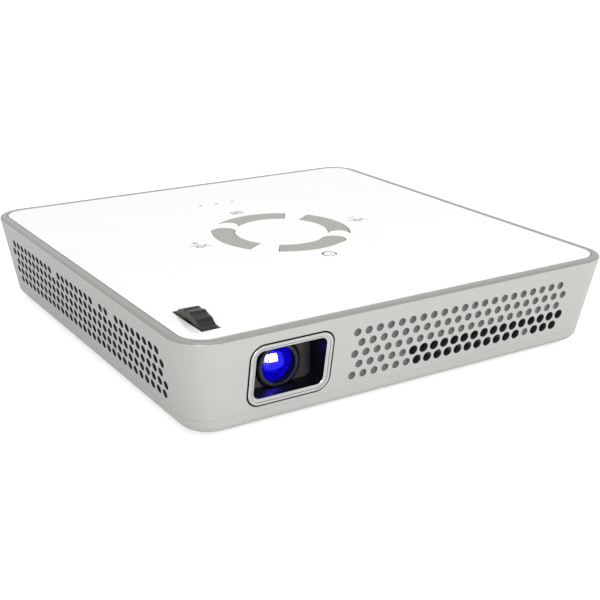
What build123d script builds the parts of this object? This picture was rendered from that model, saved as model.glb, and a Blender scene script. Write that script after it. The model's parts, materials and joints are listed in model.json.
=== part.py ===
from build123d import *
from math import acos, cos, pi, radians, sin, sqrt, tan
import os

# Palm-size projector. All sizes are in millimetres.
# The origin is under the middle of the casing, on the surface that the feet stand on.
# The lens looks along -Y, +X is to the right seen from behind the lens, and +Z is up.

# ---------------------------------------------------------------- casing
body_w = 123.0  # outer width of the rim, the same along X and Y
shell_h = 22.9  # height of the casing without its feet
wall_draft = 9.45  # degrees that each wall leans in towards the base
rim_corner_r = 8.35  # corner radius, seen from above, at the rim
base_corner_r = 7.0  # the same at the base
wall_t = 1.8
floor_t = 1.8
tray_h = 3.5  # height of the bottom cover's outer wall
base_edge_r = 2.5  # rounded lower edge of the bottom cover
rim_edge_r = 0.6  # rounded outer edge of the rim
rim_w = 2.23  # band of the side frame that shows round the top panel
panel_t = 1.6
panel_gap = 0.2  # groove between the top panel and the rim
ledge_t = 1.3  # ledge that the top panel lies on
ledge_w = 2.6
lip_t = 0.8  # tongue of the bottom cover inside the side frame
lip_h = 1.2

# ---------------------------------------------------------------- clearances
seat_gap = 0.1  # between fixed pieces where one drops into the other
pass_gap = 0.3  # between pieces that only pass each other
run_gap = 0.05  # radial, between a shaft or rod and what runs on it
fixed_gap = 0.02  # radial, between a pin and the hole that holds it
key_gap = 0.15  # round each key in the top panel
key_rest_gap = 0.05  # between a key's flange and the panel above it

# ---------------------------------------------------------------- feet, screws and tripod insert
foot_h = 1.1  # what a foot stands out of the base
foot_r = 4.0
foot_inset = 7.3  # from the edge of the base to a foot's centre
foot_recess = 0.6
foot_edge = 0.4  # bevel round the lower edge
boss_r = 2.8  # screw bosses of the side frame
boss_y = 33.0
boss_wall_gap = 5.2  # from the edge of the base to a boss's centre
web_w = 2.2  # web between a boss and its wall
rib_w = 1.6  # upright rib behind the left grille
rib_d = 1.2
rib_y = 10.0
screw_r = 1.0
screw_clear_r = 1.2
screw_head_r = 1.9
screw_head_t = 1.3
screw_head_sink = 0.2  # how far a head lies inside its counterbore
screw_len = 8.0
pilot_r = 1.02
insert_r = 4.5  # brass insert of the camera tripod thread
insert_bore_r = 2.6
insert_len = 8.0
insert_groove = 0.5
insert_boss_wall = 1.6
insert_cap_t = 1.2

# ---------------------------------------------------------------- grilles
front_rows = 5
front_columns = 21
front_pitch = 3.107
front_row_pitch = 2.78
front_top_row = 5.3  # from the top of the rim down to the first row
front_first_x = -18.2
front_hole_r = 1.17
front_dimple_r = 0.8
front_dimple_depth = 0.45
front_open_x = -2.5  # the open holes of the two lowest rows start here
front_closed_hole = 18  # one hole in the lowest row is only a dimple
left_rows = 5
left_columns = 31
left_pitch = 3.05
left_row_pitch = 2.66
left_top_row = 5.65
left_first_y = 45.5
left_hole_r = 0.95
left_missing = (11, 20, 23)  # in the top row, counted from the back
hole_sides = 6
hole_run_out = 0.3  # how far a hole's cutter runs past the wall's inner face
front_hole_sides = 8

# ---------------------------------------------------------------- lens window
window_x = -35.05
window_z = 13.35  # height of its middle on the outer face of the wall
bezel_w = 20.95
bezel_h = 14.95
bezel_corner_r = 3.2
bezel_band = 1.65  # width of the bright ring
bezel_inner_r = 1.6
bezel_proud = 0.25
bezel_lip = 1.0  # depth of the bright ring in front of the hood
bezel_flange = 1.2  # flange behind the wall
bezel_flange_t = 1.0
bezel_edge = 0.35
hood_wall = 0.7
hood_depth = 5.6  # from the wall's outer face to the hood's back plate
hood_taper = 0.4
hood_plate_t = 1.0
hood_plate_w = 19.8
hood_plate_h = 17.0

# ---------------------------------------------------------------- focus wheel, pinion and rack
wheel_r = 9.7
wheel_w = 4.0
wheel_rise = 2.5  # what the wheel stands above the top panel
wheel_y = -47.5
wheel_gap = 0.35  # between the wheel's faces and what is beside them
wheel_ribs = 20
wheel_rib_h = 0.5
wheel_rib_top = 1.1
wheel_rib_foot = 1.9
wheel_dish_r = 7.4  # shallow dish in each face
wheel_dish_d = 0.6
wheel_hub_r = 3.0
slot_gap = 0.35
wheel_turn = 22.5  # degrees each way
pinion_module = 0.5
pinion_teeth = 12
pinion_w = 3.4
pressure_angle = 20.0
tooth_top = 0.7  # addendum, in modules
tooth_bottom = 0.95  # dedendum, in modules
backlash = 0.08
axle_r = 0.75
bracket_t = 1.0
bracket_d = 4.6
bracket_top_r = 2.3
bracket_base_t = 1.2
rack_teeth_front = 2  # teeth in front of the one under the pinion
rack_teeth_back = 3
rack_w = 2.5
rack_back = 1.5  # thickness of the rack below its teeth
rack_arm_d = 1.6

# ---------------------------------------------------------------- lens barrel
lens_drop = 0.95  # the lens axis lies this much below the window's middle
nose_r = 5.5
nose_len = 3.6
barrel_r = 6.5
barrel_len = 9.0
barrel_bore_r = 5.0
tail_r = 4.2  # narrow tail that slides in the engine's bore
tail_bore_r = 3.5
tail_len = 4.2
lens_r = 4.9
rear_lens_r = 3.4
lens_edge_t = 1.2
lens_crown = 1.3
lens_set_back = 0.9
retainer_in_r = 4.35
rear_lens_t = 2.2
rear_lens_crown = 0.8
guide_r = 0.75
guide_reach = 8.3  # from the lens axis to each guide rod
guide_angles = (45, -45)
lug_r = 1.7
lug_len = 6.0
engine_bore_gap = 0.3

# ---------------------------------------------------------------- light engine
engine_left = 11.0  # from the lens axis to the engine's left face
engine_right = 24.5
engine_d = 33.5
engine_wall = 1.6
engine_foot_h = 0.8
engine_foot = 4.0
engine_h = 13.4
engine_cover_t = 1.2
chip_w = 14.0
chip_h = 9.0
chip_t = 1.6
chip_rim = 2.0
chip_glass_sink = 0.3
chip_board_w = 22.0
chip_board_h = 12.0
chip_board_t = 1.0
plug_t = 1.2  # flat connectors
plug_h = 3.0
prism_gap = 0.3
lamp_inset = 9.0  # from the engine's back wall to the green lamp
prism_w = 9.0
prism_h = 9.0
led_board_w = 9.0
led_board_t = 1.0
led_dome_r = 2.2
plate_t = 0.6  # dichroic plates
plate_w = 11.0
heat_block_d = 16.0
heat_block_h = 10.0
heat_block_t = 2.5
pipe_r = 1.5
pipe_bend_r = 8.0

# ---------------------------------------------------------------- blower and fins
fan_w = 41.0
fan_d = 39.0
fan_h = 10.0
fan_skin = 1.0
fan_y_back = -7.0
impeller_r = 15.6
impeller_h = 6.4
impeller_lift = 1.8
scroll_r = 17.6
scroll_shift = 1.0
scroll_mouth = 27.0
hub_r = 8.0
hub_skin = 0.9
hub_lift = 0.3  # running gap under the impeller
blade_count = 13
blade_t = 0.8
blade_lean = 28.0
inlet_r = 11.5
shaft_r = 0.75
bearing_r = 1.8
bearing_len = 4.0
stator_r = 6.2
stator_h = 2.6
stator_poles = 6
stator_slot = 1.2
fin_count = 15
fin_t = 0.4
fin_plate_t = 0.4
fin_margin = 2.0
fin_gap = 0.5  # between the blower's mouth and the fins

# ---------------------------------------------------------------- keys
ring_y = 1.3  # centre of the key ring
ring_out_r = 18.8
ring_in_r = 12.9
bulb_r = 3.25
bulb_angle = 149.4
bite_r = 3.0
bite_angle = 128.2
bulb_cut_angle = 213.0
bite_cut_angle = 55.0
key_flange_w = 0.7
key_flange_t = 0.8
key_travel = 0.4
key_nub_r = 1.1
key_nub_h = 0.6
key_edge = 0.15  # bevelled upper edge of each key
switch_w = 3.0
switch_t = 0.8
key_board_r = 21.0
key_board_t = 0.8
key_post_r = 1.5
key_post_reach = 8.5
key_post_count = 3

# ---------------------------------------------------------------- indicators
light_x = -1.1
light_y = 36.5
light_pitch = 5.3
light_r = 0.5
light_leg_w = 1.4
light_bar_t = 1.0
light_led_t = 0.7

# ---------------------------------------------------------------- main board, sockets and battery
board_lift = 10.1  # from the floor to the main board's underside
board_t = 1.2
board_d = 49.0
post_r = 2.3
post_inset = 3.6
post_pilot_r = 0.72
post_hole_r = 0.9
post_screw_r = 0.7
post_head_r = 1.5
post_head_t = 0.9
post_screw_len = 5.0
cell_w = 40.0
cell_d = 42.0
cell_t = 8.6
cell_gap = 0.4
cell_edge_r = 1.0
pad_t = 0.5
pad_margin = 4.0
socket_recess = 0.5  # a socket's mouth lies this much inside the wall's outer face
socket_skin = 0.4
socket_hole_gap = 0.25
video_x = 29.0
video_w = 15.0
video_h = 5.6
video_d = 12.0
data_x = 7.5
data_w = 13.3
data_h = 5.9
data_d = 14.0
power_x = -11.5
power_w = 8.0
power_h = 3.2
power_d = 6.5
tongue_short = 3.0  # a tongue ends this far inside its socket's mouth, at most
tongue_share = 0.3  # a tongue's thickness as a part of its socket's height
tongue_lift = 1.1  # the data socket's tongue is above its middle
audio_x = -27.0
audio_w = 6.4
audio_h = 5.2
audio_d = 12.0
audio_bore_r = 1.8
audio_collar_r = 2.9
wireless_w = 22.0
wireless_d = 14.0
wireless_t = 0.8
wireless_edge = 1.2
wireless_can_t = 1.8
speaker_w = 28.0
speaker_h = 11.5
speaker_t = 4.4
speaker_cone_r = 4.6
speaker_y = -14.0
flex_t = 0.2
flex_w = 8.0
flex_run = 2.5  # flat run at each end of a flat cable
flex_bend_r = 0.8
key_flex_x = 12.0
chip_flex_drop = 1.6  # from the top of the chip board's connector down to its flat cable
chip_flex_y = 5.5  # where that cable turns down to the main board
lead_r = 0.5
lead_bend_r = 1.5
lead_plug_w = 3.0
lead_plug_d = 3.5
lead_plug_h = 2.0
lead_y = 5.0  # where the leads turn up in front of the main board
lead_end_y = 10.5
fan_lead_x = 17.0
battery_lead_x = 10.0
speaker_lead_x = -42.0
# parts on the main board: x, distance from the board's front edge, width, depth, height
chip_list = (
    (-16.0, 24.0, 14.0, 14.0, 2.4),
    (-30.0, 27.0, 9.0, 11.0, 1.1),
    (-30.0, 13.0, 9.0, 11.0, 1.1),
    (22.0, 26.0, 7.0, 7.0, 3.2),
    (31.0, 26.0, 7.0, 7.0, 3.2),
    (40.0, 33.0, 5.0, 5.0, 4.2),
)

# ---------------------------------------------------------------- levels and places worked out from these
z_base = foot_h
z_floor = z_base + floor_t
z_split = z_base + tray_h
z_top = z_base + shell_h
z_panel = z_top - panel_t
z_ledge = z_panel - ledge_t
lean = tan(radians(wall_draft))


def half_at(z):
    """Half of the casing's outer width at a height."""
    return body_w / 2 - (z_top - z) * lean


def corner_at(z):
    """Corner radius of the casing at a height."""
    return base_corner_r + (rim_corner_r - base_corner_r) * (z - z_base) / shell_h


tray_inset = wall_t + seat_gap + lip_t
room = half_at(z_floor) - tray_inset  # half of the free width on the floor
boss_x = half_at(z_base) - boss_wall_gap
foot_xy = half_at(z_base) - foot_inset

wheel_x = -(room - pass_gap - bracket_t - wheel_gap - wheel_w / 2)
wheel_z = z_top + wheel_rise - wheel_r
pinion_r = pinion_module * pinion_teeth / 2
pinion_x = wheel_x + wheel_w / 2
rack_z = wheel_z - pinion_r
rack_x = pinion_x + wheel_gap
bracket_x_left = wheel_x - wheel_w / 2 - wheel_gap - bracket_t
bracket_x_right = pinion_x + pinion_w + pass_gap

lens_x = window_x
lens_z = window_z - lens_drop
window_y = -half_at(window_z)
hood_y = window_y + hood_depth
nose_y = hood_y - hood_plate_t / 2
barrel_y = nose_y + nose_len
barrel_end_y = barrel_y + barrel_len
focus_travel = pinion_r * radians(wheel_turn)

engine_x0 = lens_x - engine_left
engine_x1 = lens_x + engine_right
tail_end_y = barrel_end_y + tail_len
engine_y0 = barrel_end_y + focus_travel + pass_gap
engine_y1 = engine_y0 + engine_d
engine_z0 = z_floor + engine_foot_h
engine_z1 = engine_z0 + engine_h

fan_x1 = boss_x - boss_r - pass_gap
fan_x0 = fan_x1 - fan_w
fan_x = (fan_x0 + fan_x1) / 2
fan_y0 = fan_y_back - fan_d
fan_y = (fan_y_back + fan_y0) / 2 + scroll_shift
fin_y1 = fan_y0 - fin_gap
fin_y0 = -(room - pass_gap)
pipe_x = engine_x1 + heat_block_t + pipe_r
pipe_z = z_floor + fan_h + pipe_r - 1.0
fin_top = pipe_z - pipe_r

z_flange = z_panel - key_rest_gap
z_nub = z_flange - key_flange_t - key_nub_h
z_switch = z_nub - key_travel - key_rest_gap
z_key_board = z_switch - switch_t - key_board_t

z_board = z_floor + board_lift
z_board_top = z_board + board_t
board_half = boss_x - boss_r - pass_gap
board_y1 = half_at(z_board) - wall_t - pass_gap
board_y0 = board_y1 - board_d
post_x = board_half - post_inset
post_y0 = board_y0 + post_inset
post_y1 = board_y1 - post_inset


# ---------------------------------------------------------------- small helpers
def block(x0, x1, y0, y1, z0, z1):
    """A box between two corners."""
    middle = Pos((x0 + x1) / 2, (y0 + y1) / 2, (z0 + z1) / 2)
    return middle * Box(x1 - x0, y1 - y0, z1 - z0)


def post(x, y, z0, z1, radius):
    """An upright cylinder."""
    return Pos(x, y, (z0 + z1) / 2) * Cylinder(radius, z1 - z0)


def along_x(x0, x1, y, z, radius):
    """A cylinder that lies along X."""
    return Pos((x0 + x1) / 2, y, z) * Rot(0, 90, 0) * Cylinder(radius, x1 - x0)


def along_y(x, y0, y1, z, radius):
    """A cylinder that lies along Y."""
    return Pos(x, (y0 + y1) / 2, z) * Rot(90, 0, 0) * Cylinder(radius, y1 - y0)


def casing_slice(z, inset=0.0):
    """The casing's rounded square outline at a height, drawn in from the outer face."""
    side = 2 * (half_at(z) - inset)
    return Pos(0, 0, z) * RectangleRounded(side, side, max(corner_at(z) - inset, 0.5))


def casing_block(z0, z1, inset=0.0):
    """The casing's leaning walls as a solid block between two heights."""
    return loft([casing_slice(z0, inset).face(), casing_slice(z1, inset).face()], ruled=True)


def four_bosses():
    """Centres of the casing's four screws."""
    return [(sx * boss_x, sy * boss_y) for sx in (-1, 1) for sy in (-1, 1)]


def board_posts():
    """Centres of the main board's four posts."""
    return [(x, y) for x in (-post_x, post_x) for y in (post_y0, post_y1)]


def screw(x, y, z_under_head, radius, length, head_r, head_t, up):
    """A plain pan-head screw; up is 1 if its shank points up and -1 if it points down."""
    head = post(x, y, *sorted((z_under_head, z_under_head - up * head_t)), head_r)
    shank = post(x, y, *sorted((z_under_head, z_under_head + up * length)), radius)
    return head + shank


def wall_plane(depth=0.0):
    """The front wall's outer face at the lens window, with X to the right and Y up; depth goes inwards."""
    outwards = Vector(0, -cos(radians(wall_draft)), -sin(radians(wall_draft)))
    middle = Vector(window_x, window_y, window_z) - outwards * depth
    return Plane(origin=middle, x_dir=(1, 0, 0), z_dir=outwards)


def grouped(pieces):
    """Separate solids that share one node."""
    return Compound([solid for piece in pieces for solid in piece.solids()])


# ---------------------------------------------------------------- side frame
def front_holes():
    """Through holes and dimples of the front grille, as (x, z, is_open)."""
    holes = []
    for row in range(front_rows):
        z = z_top - front_top_row - row * front_row_pitch
        shift = front_pitch / 2 if row % 2 else 0.0
        for column in range(front_columns):
            x = front_first_x + shift + column * front_pitch
            low = row >= front_rows - 2
            closed = row == front_rows - 1 and column == front_closed_hole - 1
            holes.append((x, z, low and x > front_open_x and not closed))
    return holes


def left_holes():
    """Holes of the left grille, as (y, z)."""
    holes = []
    for row in range(left_rows):
        z = z_top - left_top_row - row * left_row_pitch
        shift = left_pitch / 2 if row % 2 else 0.0
        columns = left_columns + row % 2
        for column in range(columns):
            if row == 0 and column + 1 in left_missing:
                continue
            holes.append((left_first_y + shift - column * left_pitch, z))
    return holes


def front_prism(x, z, radius, sides, y_end):
    """A cutter that enters the front wall from outside."""
    outline = Plane.XZ.offset(-y_end) * (Pos(x, z) * RegularPolygon(radius, sides))
    return extrude(outline, amount=body_w / 2 + 1 + y_end)


def grille_cutters():
    """All the cutters of the two grilles."""
    cutters = []
    for x, z, is_open in front_holes():
        face_y = -half_at(z)
        if is_open:
            y_end = face_y + wall_t + hole_run_out
            cutters.append(front_prism(x, z, front_hole_r, front_hole_sides, y_end))
        else:
            cutters.append(front_prism(x, z, front_dimple_r, hole_sides, face_y + front_dimple_depth))
    for y, z in left_holes():
        x_end = -half_at(z) + wall_t + hole_run_out
        outline = Plane.YZ.offset(x_end) * (Pos(y, z) * RegularPolygon(left_hole_r, hole_sides))
        cutters.append(extrude(outline, amount=-(body_w / 2 + 1 + x_end)))
    return cutters


def wheel_room():
    """The space that the focus wheel turns in, which notches the ledge and slots the top panel."""
    half = wheel_w / 2 + slot_gap
    return along_x(wheel_x - half, wheel_x + half, wheel_y, wheel_z, wheel_r + slot_gap)


def socket_list():
    """The rear sockets with a metal shell, as (name, x, width, height, depth)."""
    return [
        ("video", video_x, video_w, video_h, video_d),
        ("data", data_x, data_w, data_h, data_d),
        ("power", power_x, power_w, power_h, power_d),
    ]


def socket_mouth(z):
    """Where the mouth of a socket lies along Y, for one whose middle is at a height."""
    return half_at(z) - socket_recess


def rear_cutters():
    """Openings in the rear wall for the sockets and the audio jack."""
    cutters = []
    for _, x, width, height, _ in socket_list():
        z = z_board_top + height / 2
        size = 2 * socket_hole_gap
        hole = RectangleRounded(width + size, height + size, 0.8)
        outline = Plane.XZ.offset(-half_at(z) - 1) * (Pos(x, z) * hole)
        cutters.append(extrude(outline, amount=2 * wall_t + 2))
    z = z_board_top + audio_h / 2
    radius = audio_collar_r + socket_hole_gap
    cutters.append(along_y(audio_x, half_at(z) - 2 * wall_t, half_at(z) + 1, z, radius))
    return cutters


def make_side_frame():
    """The ring of four leaning walls with its rim, ledge, grilles, window, screw bosses and rib."""
    frame = casing_block(z_split, z_top)
    rim = frame.faces().sort_by(Axis.Z)[-1].edges()
    frame = fillet(rim, rim_edge_r)
    frame -= casing_block(z_split, z_ledge, wall_t)
    panel_side = body_w - 2 * rim_w
    pocket = RectangleRounded(panel_side, panel_side, rim_corner_r - rim_w)
    frame -= extrude(Pos(0, 0, z_panel) * pocket, amount=panel_t)
    ledge_side = panel_side - 2 * ledge_w
    opening = RectangleRounded(ledge_side, ledge_side, rim_corner_r - rim_w)
    frame -= extrude(Pos(0, 0, z_ledge) * opening, amount=ledge_t)
    window = RectangleRounded(bezel_w + 2 * seat_gap, bezel_h + 2 * seat_gap, bezel_corner_r + seat_gap)
    frame -= extrude(wall_plane(2 * wall_t) * window, amount=2 * wall_t + 1)
    hollow = casing_block(z_split, z_ledge, wall_t)
    inside = []
    for x, y in four_bosses():
        side = 1 if x > 0 else -1
        web = block(*sorted((x, side * body_w / 2)), y - web_w / 2, y + web_w / 2, z_split, z_ledge)
        boss = (web + post(x, y, z_split, z_ledge, boss_r)) & hollow
        inside.append(boss - post(x, y, z_split, z_split + screw_len, pilot_r))
    rib_z = z_split + lip_h + pass_gap
    rib = block(-body_w / 2, 0, rib_y - rib_w / 2, rib_y + rib_w / 2, rib_z, z_ledge)
    inside.append((rib & hollow) - casing_block(z_split, z_ledge, wall_t + rib_d))
    frame += inside
    return frame.cut(wheel_room(), *grille_cutters(), *rear_cutters())


# ---------------------------------------------------------------- bottom cover and what is on it
def make_bottom_cover():
    """The tray with its tongue, foot recesses, screw posts, board posts and tripod boss."""
    cover = casing_block(z_base, z_split)
    base = cover.faces().sort_by(Axis.Z)[0].edges()
    cover = fillet(base, base_edge_r)
    cover += casing_block(z_split, z_split + lip_h, wall_t + seat_gap)
    cover -= casing_block(z_floor, z_split + lip_h, tray_inset)
    for x, y in four_bosses():
        side = 1 if x > 0 else -1
        notch_w = boss_r + pass_gap
        notch = block(*sorted((x, side * body_w / 2)), y - notch_w, y + notch_w, z_split, z_split + lip_h)
        cover -= notch
        cover += post(x, y, z_floor, z_split, boss_r)
        cover -= post(x, y, z_base, z_split, screw_clear_r)
        cover -= post(x, y, z_base, z_base + screw_head_t + screw_head_sink, screw_head_r + seat_gap)
    half_w = bezel_w / 2 + bezel_flange + pass_gap
    cover -= block(window_x - half_w, window_x + half_w, -body_w / 2, 0, z_split, z_split + lip_h)
    for x, y in foot_places():
        cover -= post(x, y, z_base, z_base + foot_recess, foot_r + seat_gap)
    boss_top = z_base + insert_len + insert_cap_t
    cover += post(0, 0, z_floor, boss_top, insert_r + insert_boss_wall)
    cover -= post(0, 0, z_base, z_base + insert_len, insert_r + fixed_gap)
    for x, y in board_posts():
        cover += post(x, y, z_floor, z_board, post_r)
        cover -= post(x, y, z_board - post_screw_len, z_board, post_pilot_r)
    return cover


def foot_places():
    """Centres of the four feet; the first is the one at the lens corner."""
    return [(-foot_xy, -foot_xy), (foot_xy, -foot_xy), (-foot_xy, foot_xy), (foot_xy, foot_xy)]


def make_foot(x, y):
    """A round pad in its recess, with a bevelled lower edge."""
    pad = post(x, y, 0, z_base + foot_recess, foot_r)
    return chamfer(pad.edges().sort_by(Axis.Z)[0], foot_edge)


def make_casing_screws():
    """Four screws that hold the bottom cover to the side frame."""
    z = z_base + screw_head_t + screw_head_sink
    places = four_bosses()
    return [screw(x, y, z, screw_r, screw_len, screw_head_r, screw_head_t, 1) for x, y in places]


def make_tripod_insert():
    """Brass insert with a plain bore in place of its thread, and a groove that holds it."""
    sleeve = post(0, 0, z_base, z_base + insert_len, insert_r)
    middle = z_base + insert_len / 2
    groove = post(0, 0, middle - insert_groove, middle + insert_groove, insert_r)
    groove -= post(0, 0, middle - insert_groove, middle + insert_groove, insert_r - insert_groove)
    return sleeve - groove - post(0, 0, z_base, z_base + insert_len, insert_bore_r)


# ---------------------------------------------------------------- top panel and keys
def ring_point(radius, angle):
    """A point of the key ring, in the panel's plane."""
    return (radius * cos(radians(angle)), ring_y + radius * sin(radians(angle)))


def ring_sector(start, end):
    """The part of the key ring between two angles."""
    ring = Pos(0, ring_y) * (Circle(ring_out_r) - Circle(ring_in_r))
    reach = 2 * ring_out_r
    middle = (start + end) / 2
    corners = [(0, ring_y)] + [ring_point(reach, angle) for angle in (start, middle, end)]
    return ring & Polygon(*corners, align=None)


def mirrored(angle):
    """The same angle on the other side of the ring's 45 degree line."""
    return 90 - angle


def key_outlines():
    """Outlines of the two keys left of the 45 degree line; the other two are their mirror images."""
    mid_r = (ring_out_r + ring_in_r) / 2
    bulb = Pos(*ring_point(mid_r, bulb_angle)) * Circle(bulb_r)
    bite = Pos(*ring_point(mid_r, bite_angle)) * Circle(bite_r)
    return {
        "volume_up_key": ring_sector(bulb_angle, bulb_cut_angle) + bulb,
        "source_key": ring_sector(bite_cut_angle, bite_angle) - bite,
    }


def across_ring(shape):
    """The mirror image of a shape on the other side of the ring's 45 degree line."""
    return mirror(shape, about=Plane(origin=(0, ring_y, 0), x_dir=(1, 1, 0), z_dir=(1, -1, 0)))


def key_middles():
    """Where each key presses its switch, in the panel's plane."""
    mid_r = (ring_out_r + ring_in_r) / 2
    left = (bulb_angle + bulb_cut_angle) / 2
    back = (bite_angle + bite_cut_angle) / 2
    return {
        "volume_up_key": ring_point(mid_r, left),
        "power_key": ring_point(mid_r, mirrored(left)),
        "source_key": ring_point(mid_r, back),
        "volume_down_key": ring_point(mid_r, mirrored(back)),
    }


def make_key(name):
    """A flush cap with a flange under the panel and a nub over its switch."""
    outline = key_outlines()[name]
    cap = extrude(Pos(0, 0, z_flange) * outline, amount=z_top - z_flange)
    cap = chamfer(cap.faces().sort_by(Axis.Z)[-1].edges(), key_edge)
    z0 = z_flange - key_flange_t
    flange = extrude(Pos(0, 0, z0) * offset(outline, amount=key_flange_w), amount=key_flange_t)
    x, y = key_middles()[name]
    return cap + flange + post(x, y, z_nub, z0, key_nub_r)


def key_posts():
    """Centres of the posts that carry the key board."""
    step = 360 / key_post_count
    return [ring_point(key_post_reach, 90 + step * i) for i in range(key_post_count)]


def light_places():
    """Centres of the three indicators."""
    return [(light_x + light_pitch * i, light_y) for i in (-1, 0, 1)]


def make_top_panel():
    """The glossy plate with key openings, wheel slot, indicator holes and the key board's posts."""
    side = body_w - 2 * rim_w - 2 * panel_gap
    plate = RectangleRounded(side, side, rim_corner_r - rim_w - panel_gap)
    panel = extrude(Pos(0, 0, z_panel) * plate, amount=panel_t)
    for outline in key_outlines().values():
        opening = extrude(Pos(0, 0, z_panel) * offset(outline, amount=key_gap), amount=panel_t)
        panel -= opening + across_ring(opening)
    panel -= wheel_room()
    for x, y in light_places():
        panel -= post(x, y, z_panel, z_top, light_r + run_gap)
    for x, y in key_posts():
        panel += post(x, y, z_key_board + key_board_t, z_panel, key_post_r)
    return panel


def make_key_board():
    """Round board under the panel with a switch below each key."""
    board = post(0, ring_y, z_key_board, z_key_board + key_board_t, key_board_r)
    for x, y in key_middles().values():
        half = switch_w / 2
        board += block(x - half, x + half, y - half, y + half, z_key_board + key_board_t, z_switch)
    return board


def make_light_pipe():
    """Clear bar under the panel with three pins up through it and three legs down to the board."""
    half = light_leg_w / 2
    reach = light_pitch + half
    bar_z0 = z_panel - light_bar_t
    bar = block(light_x - reach, light_x + reach, light_y - half, light_y + half, bar_z0, z_panel)
    for x, y in light_places():
        bar += post(x, y, z_panel, z_top, light_r)
        bar += block(x - half, x + half, y - half, y + half, z_board_top + light_led_t, bar_z0)
    return bar


# ---------------------------------------------------------------- lens bezel and hood
def make_lens_bezel():
    """Bright ring in the front wall, stepped behind for the hood, with a flange inside the wall."""
    outer = RectangleRounded(bezel_w, bezel_h, bezel_corner_r)
    inner_w = bezel_w - 2 * bezel_band
    inner_h = bezel_h - 2 * bezel_band
    inner = RectangleRounded(inner_w, inner_h, bezel_inner_r)
    wall_n = wall_t * cos(radians(wall_draft))
    depth = wall_n + bezel_flange_t
    ring = extrude(wall_plane(depth) * outer, amount=depth + bezel_proud)
    ring -= extrude(wall_plane(depth) * inner, amount=depth + bezel_proud)
    front = ring.faces().sort_by(Axis.Y)[0].edges()
    ring = chamfer(front, bezel_edge)
    seat_w = inner_w + 2 * hood_wall + 2 * seat_gap
    seat_h = inner_h + 2 * hood_wall + 2 * seat_gap + 2 * depth * lean
    seat = RectangleRounded(seat_w, seat_h, bezel_inner_r + hood_wall)
    ring -= extrude(wall_plane(depth) * seat, amount=depth + bezel_proud - bezel_lip)
    flange_w = bezel_w + 2 * bezel_flange
    flange_h = bezel_h + 2 * bezel_flange
    flange = RectangleRounded(flange_w, flange_h, bezel_corner_r) - outer
    flange = extrude(wall_plane(depth) * flange, amount=bezel_flange_t)
    return ring + (flange & casing_block(z_split + seat_gap, z_ledge - seat_gap, wall_t))


def make_lens_hood():
    """Black tapered tunnel from the bezel to a back plate that holds the guide rods."""
    inner_w = bezel_w - 2 * bezel_band
    inner_h = bezel_h - 2 * bezel_band
    front_depth = bezel_lip - bezel_proud

    def tunnel(grow, depth, y_end, corner):
        front = wall_plane(depth) * RectangleRounded(inner_w + 2 * grow, inner_h + 2 * grow, corner)
        size = 2 * (grow - hood_taper)
        back_outline = RectangleRounded(inner_w + size, inner_h + size, corner)
        back = Plane(origin=(window_x, y_end, window_z), x_dir=(1, 0, 0), z_dir=(0, -1, 0)) * back_outline
        return loft([front.face(), back.face()], ruled=True)

    shell = tunnel(hood_wall, front_depth, hood_y, bezel_inner_r + hood_wall)
    plate_plane = Plane(origin=(lens_x, hood_y + hood_plate_t, lens_z), x_dir=(1, 0, 0), z_dir=(0, -1, 0))
    plate = extrude(plate_plane * RectangleRounded(hood_plate_w, hood_plate_h, 2.0), amount=hood_plate_t)
    hood = shell + plate - tunnel(0.0, front_depth, hood_y, bezel_inner_r)
    nose_front = nose_y - focus_travel - pass_gap
    hood -= along_y(lens_x, nose_front, hood_y + hood_plate_t + 1, lens_z, nose_r + pass_gap)
    for x, z in guide_places():
        hood -= along_y(x, hood_y - 1, hood_y + hood_plate_t, z, guide_r + fixed_gap)
    return hood


# ---------------------------------------------------------------- focus mechanism
def guide_places():
    """Centres of the guide rods, as (x, z)."""
    places = []
    for angle in guide_angles:
        turn = radians(angle)
        places.append((lens_x + guide_reach * cos(turn), lens_z + guide_reach * sin(turn)))
    return places


def make_guide_rods():
    """Two steel rods from the hood's back plate to the engine's front wall."""
    return [along_y(x, hood_y, engine_y0, z, guide_r) for x, z in guide_places()]


def revolved(profile_points, y_axis_x, y_axis_z):
    """A body of revolution about a line along Y, from (radius, y) points."""
    outline = Polyline(*[(r, y) for r, y in profile_points], close=True)
    face = make_face(Plane.XY * outline)
    body = revolve(face, Axis.Y, 360)
    return Pos(y_axis_x, 0, y_axis_z) * body


def make_lens_barrel():
    """Stepped black tube with lugs that run on the guide rods."""
    tube = revolved(
        [
            (barrel_bore_r, nose_y),
            (nose_r, nose_y),
            (nose_r, barrel_y),
            (barrel_r, barrel_y),
            (barrel_r, barrel_end_y),
            (tail_r, barrel_end_y),
            (tail_r, tail_end_y),
            (tail_bore_r, tail_end_y),
            (tail_bore_r, barrel_end_y - 1.0),
            (barrel_bore_r, barrel_end_y - 1.0),
        ],
        lens_x,
        lens_z,
    )
    for (x, z), angle in zip(guide_places(), guide_angles):
        y0 = barrel_y + 1.0
        web = Pos(0, y0 + lug_len / 2, 0) * Box(guide_reach, lug_len, 2 * lug_r * 0.8)
        web = Pos(guide_reach / 2, 0, 0) * web
        web = Pos(lens_x, 0, lens_z) * Rot(0, -angle, 0) * web
        web -= along_y(lens_x, y0 - 1, y0 + lug_len + 1, lens_z, (barrel_r + barrel_bore_r) / 2)
        tube += web + along_y(x, y0, y0 + lug_len, z, lug_r)
        tube -= along_y(x, y0 - 1, y0 + lug_len + 1, z, guide_r + run_gap)
    return tube


def crown_radius(radius, crown):
    """Radius of the sphere whose cap has this base radius and height."""
    return (radius * radius + crown * crown) / (2 * crown)


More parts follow.
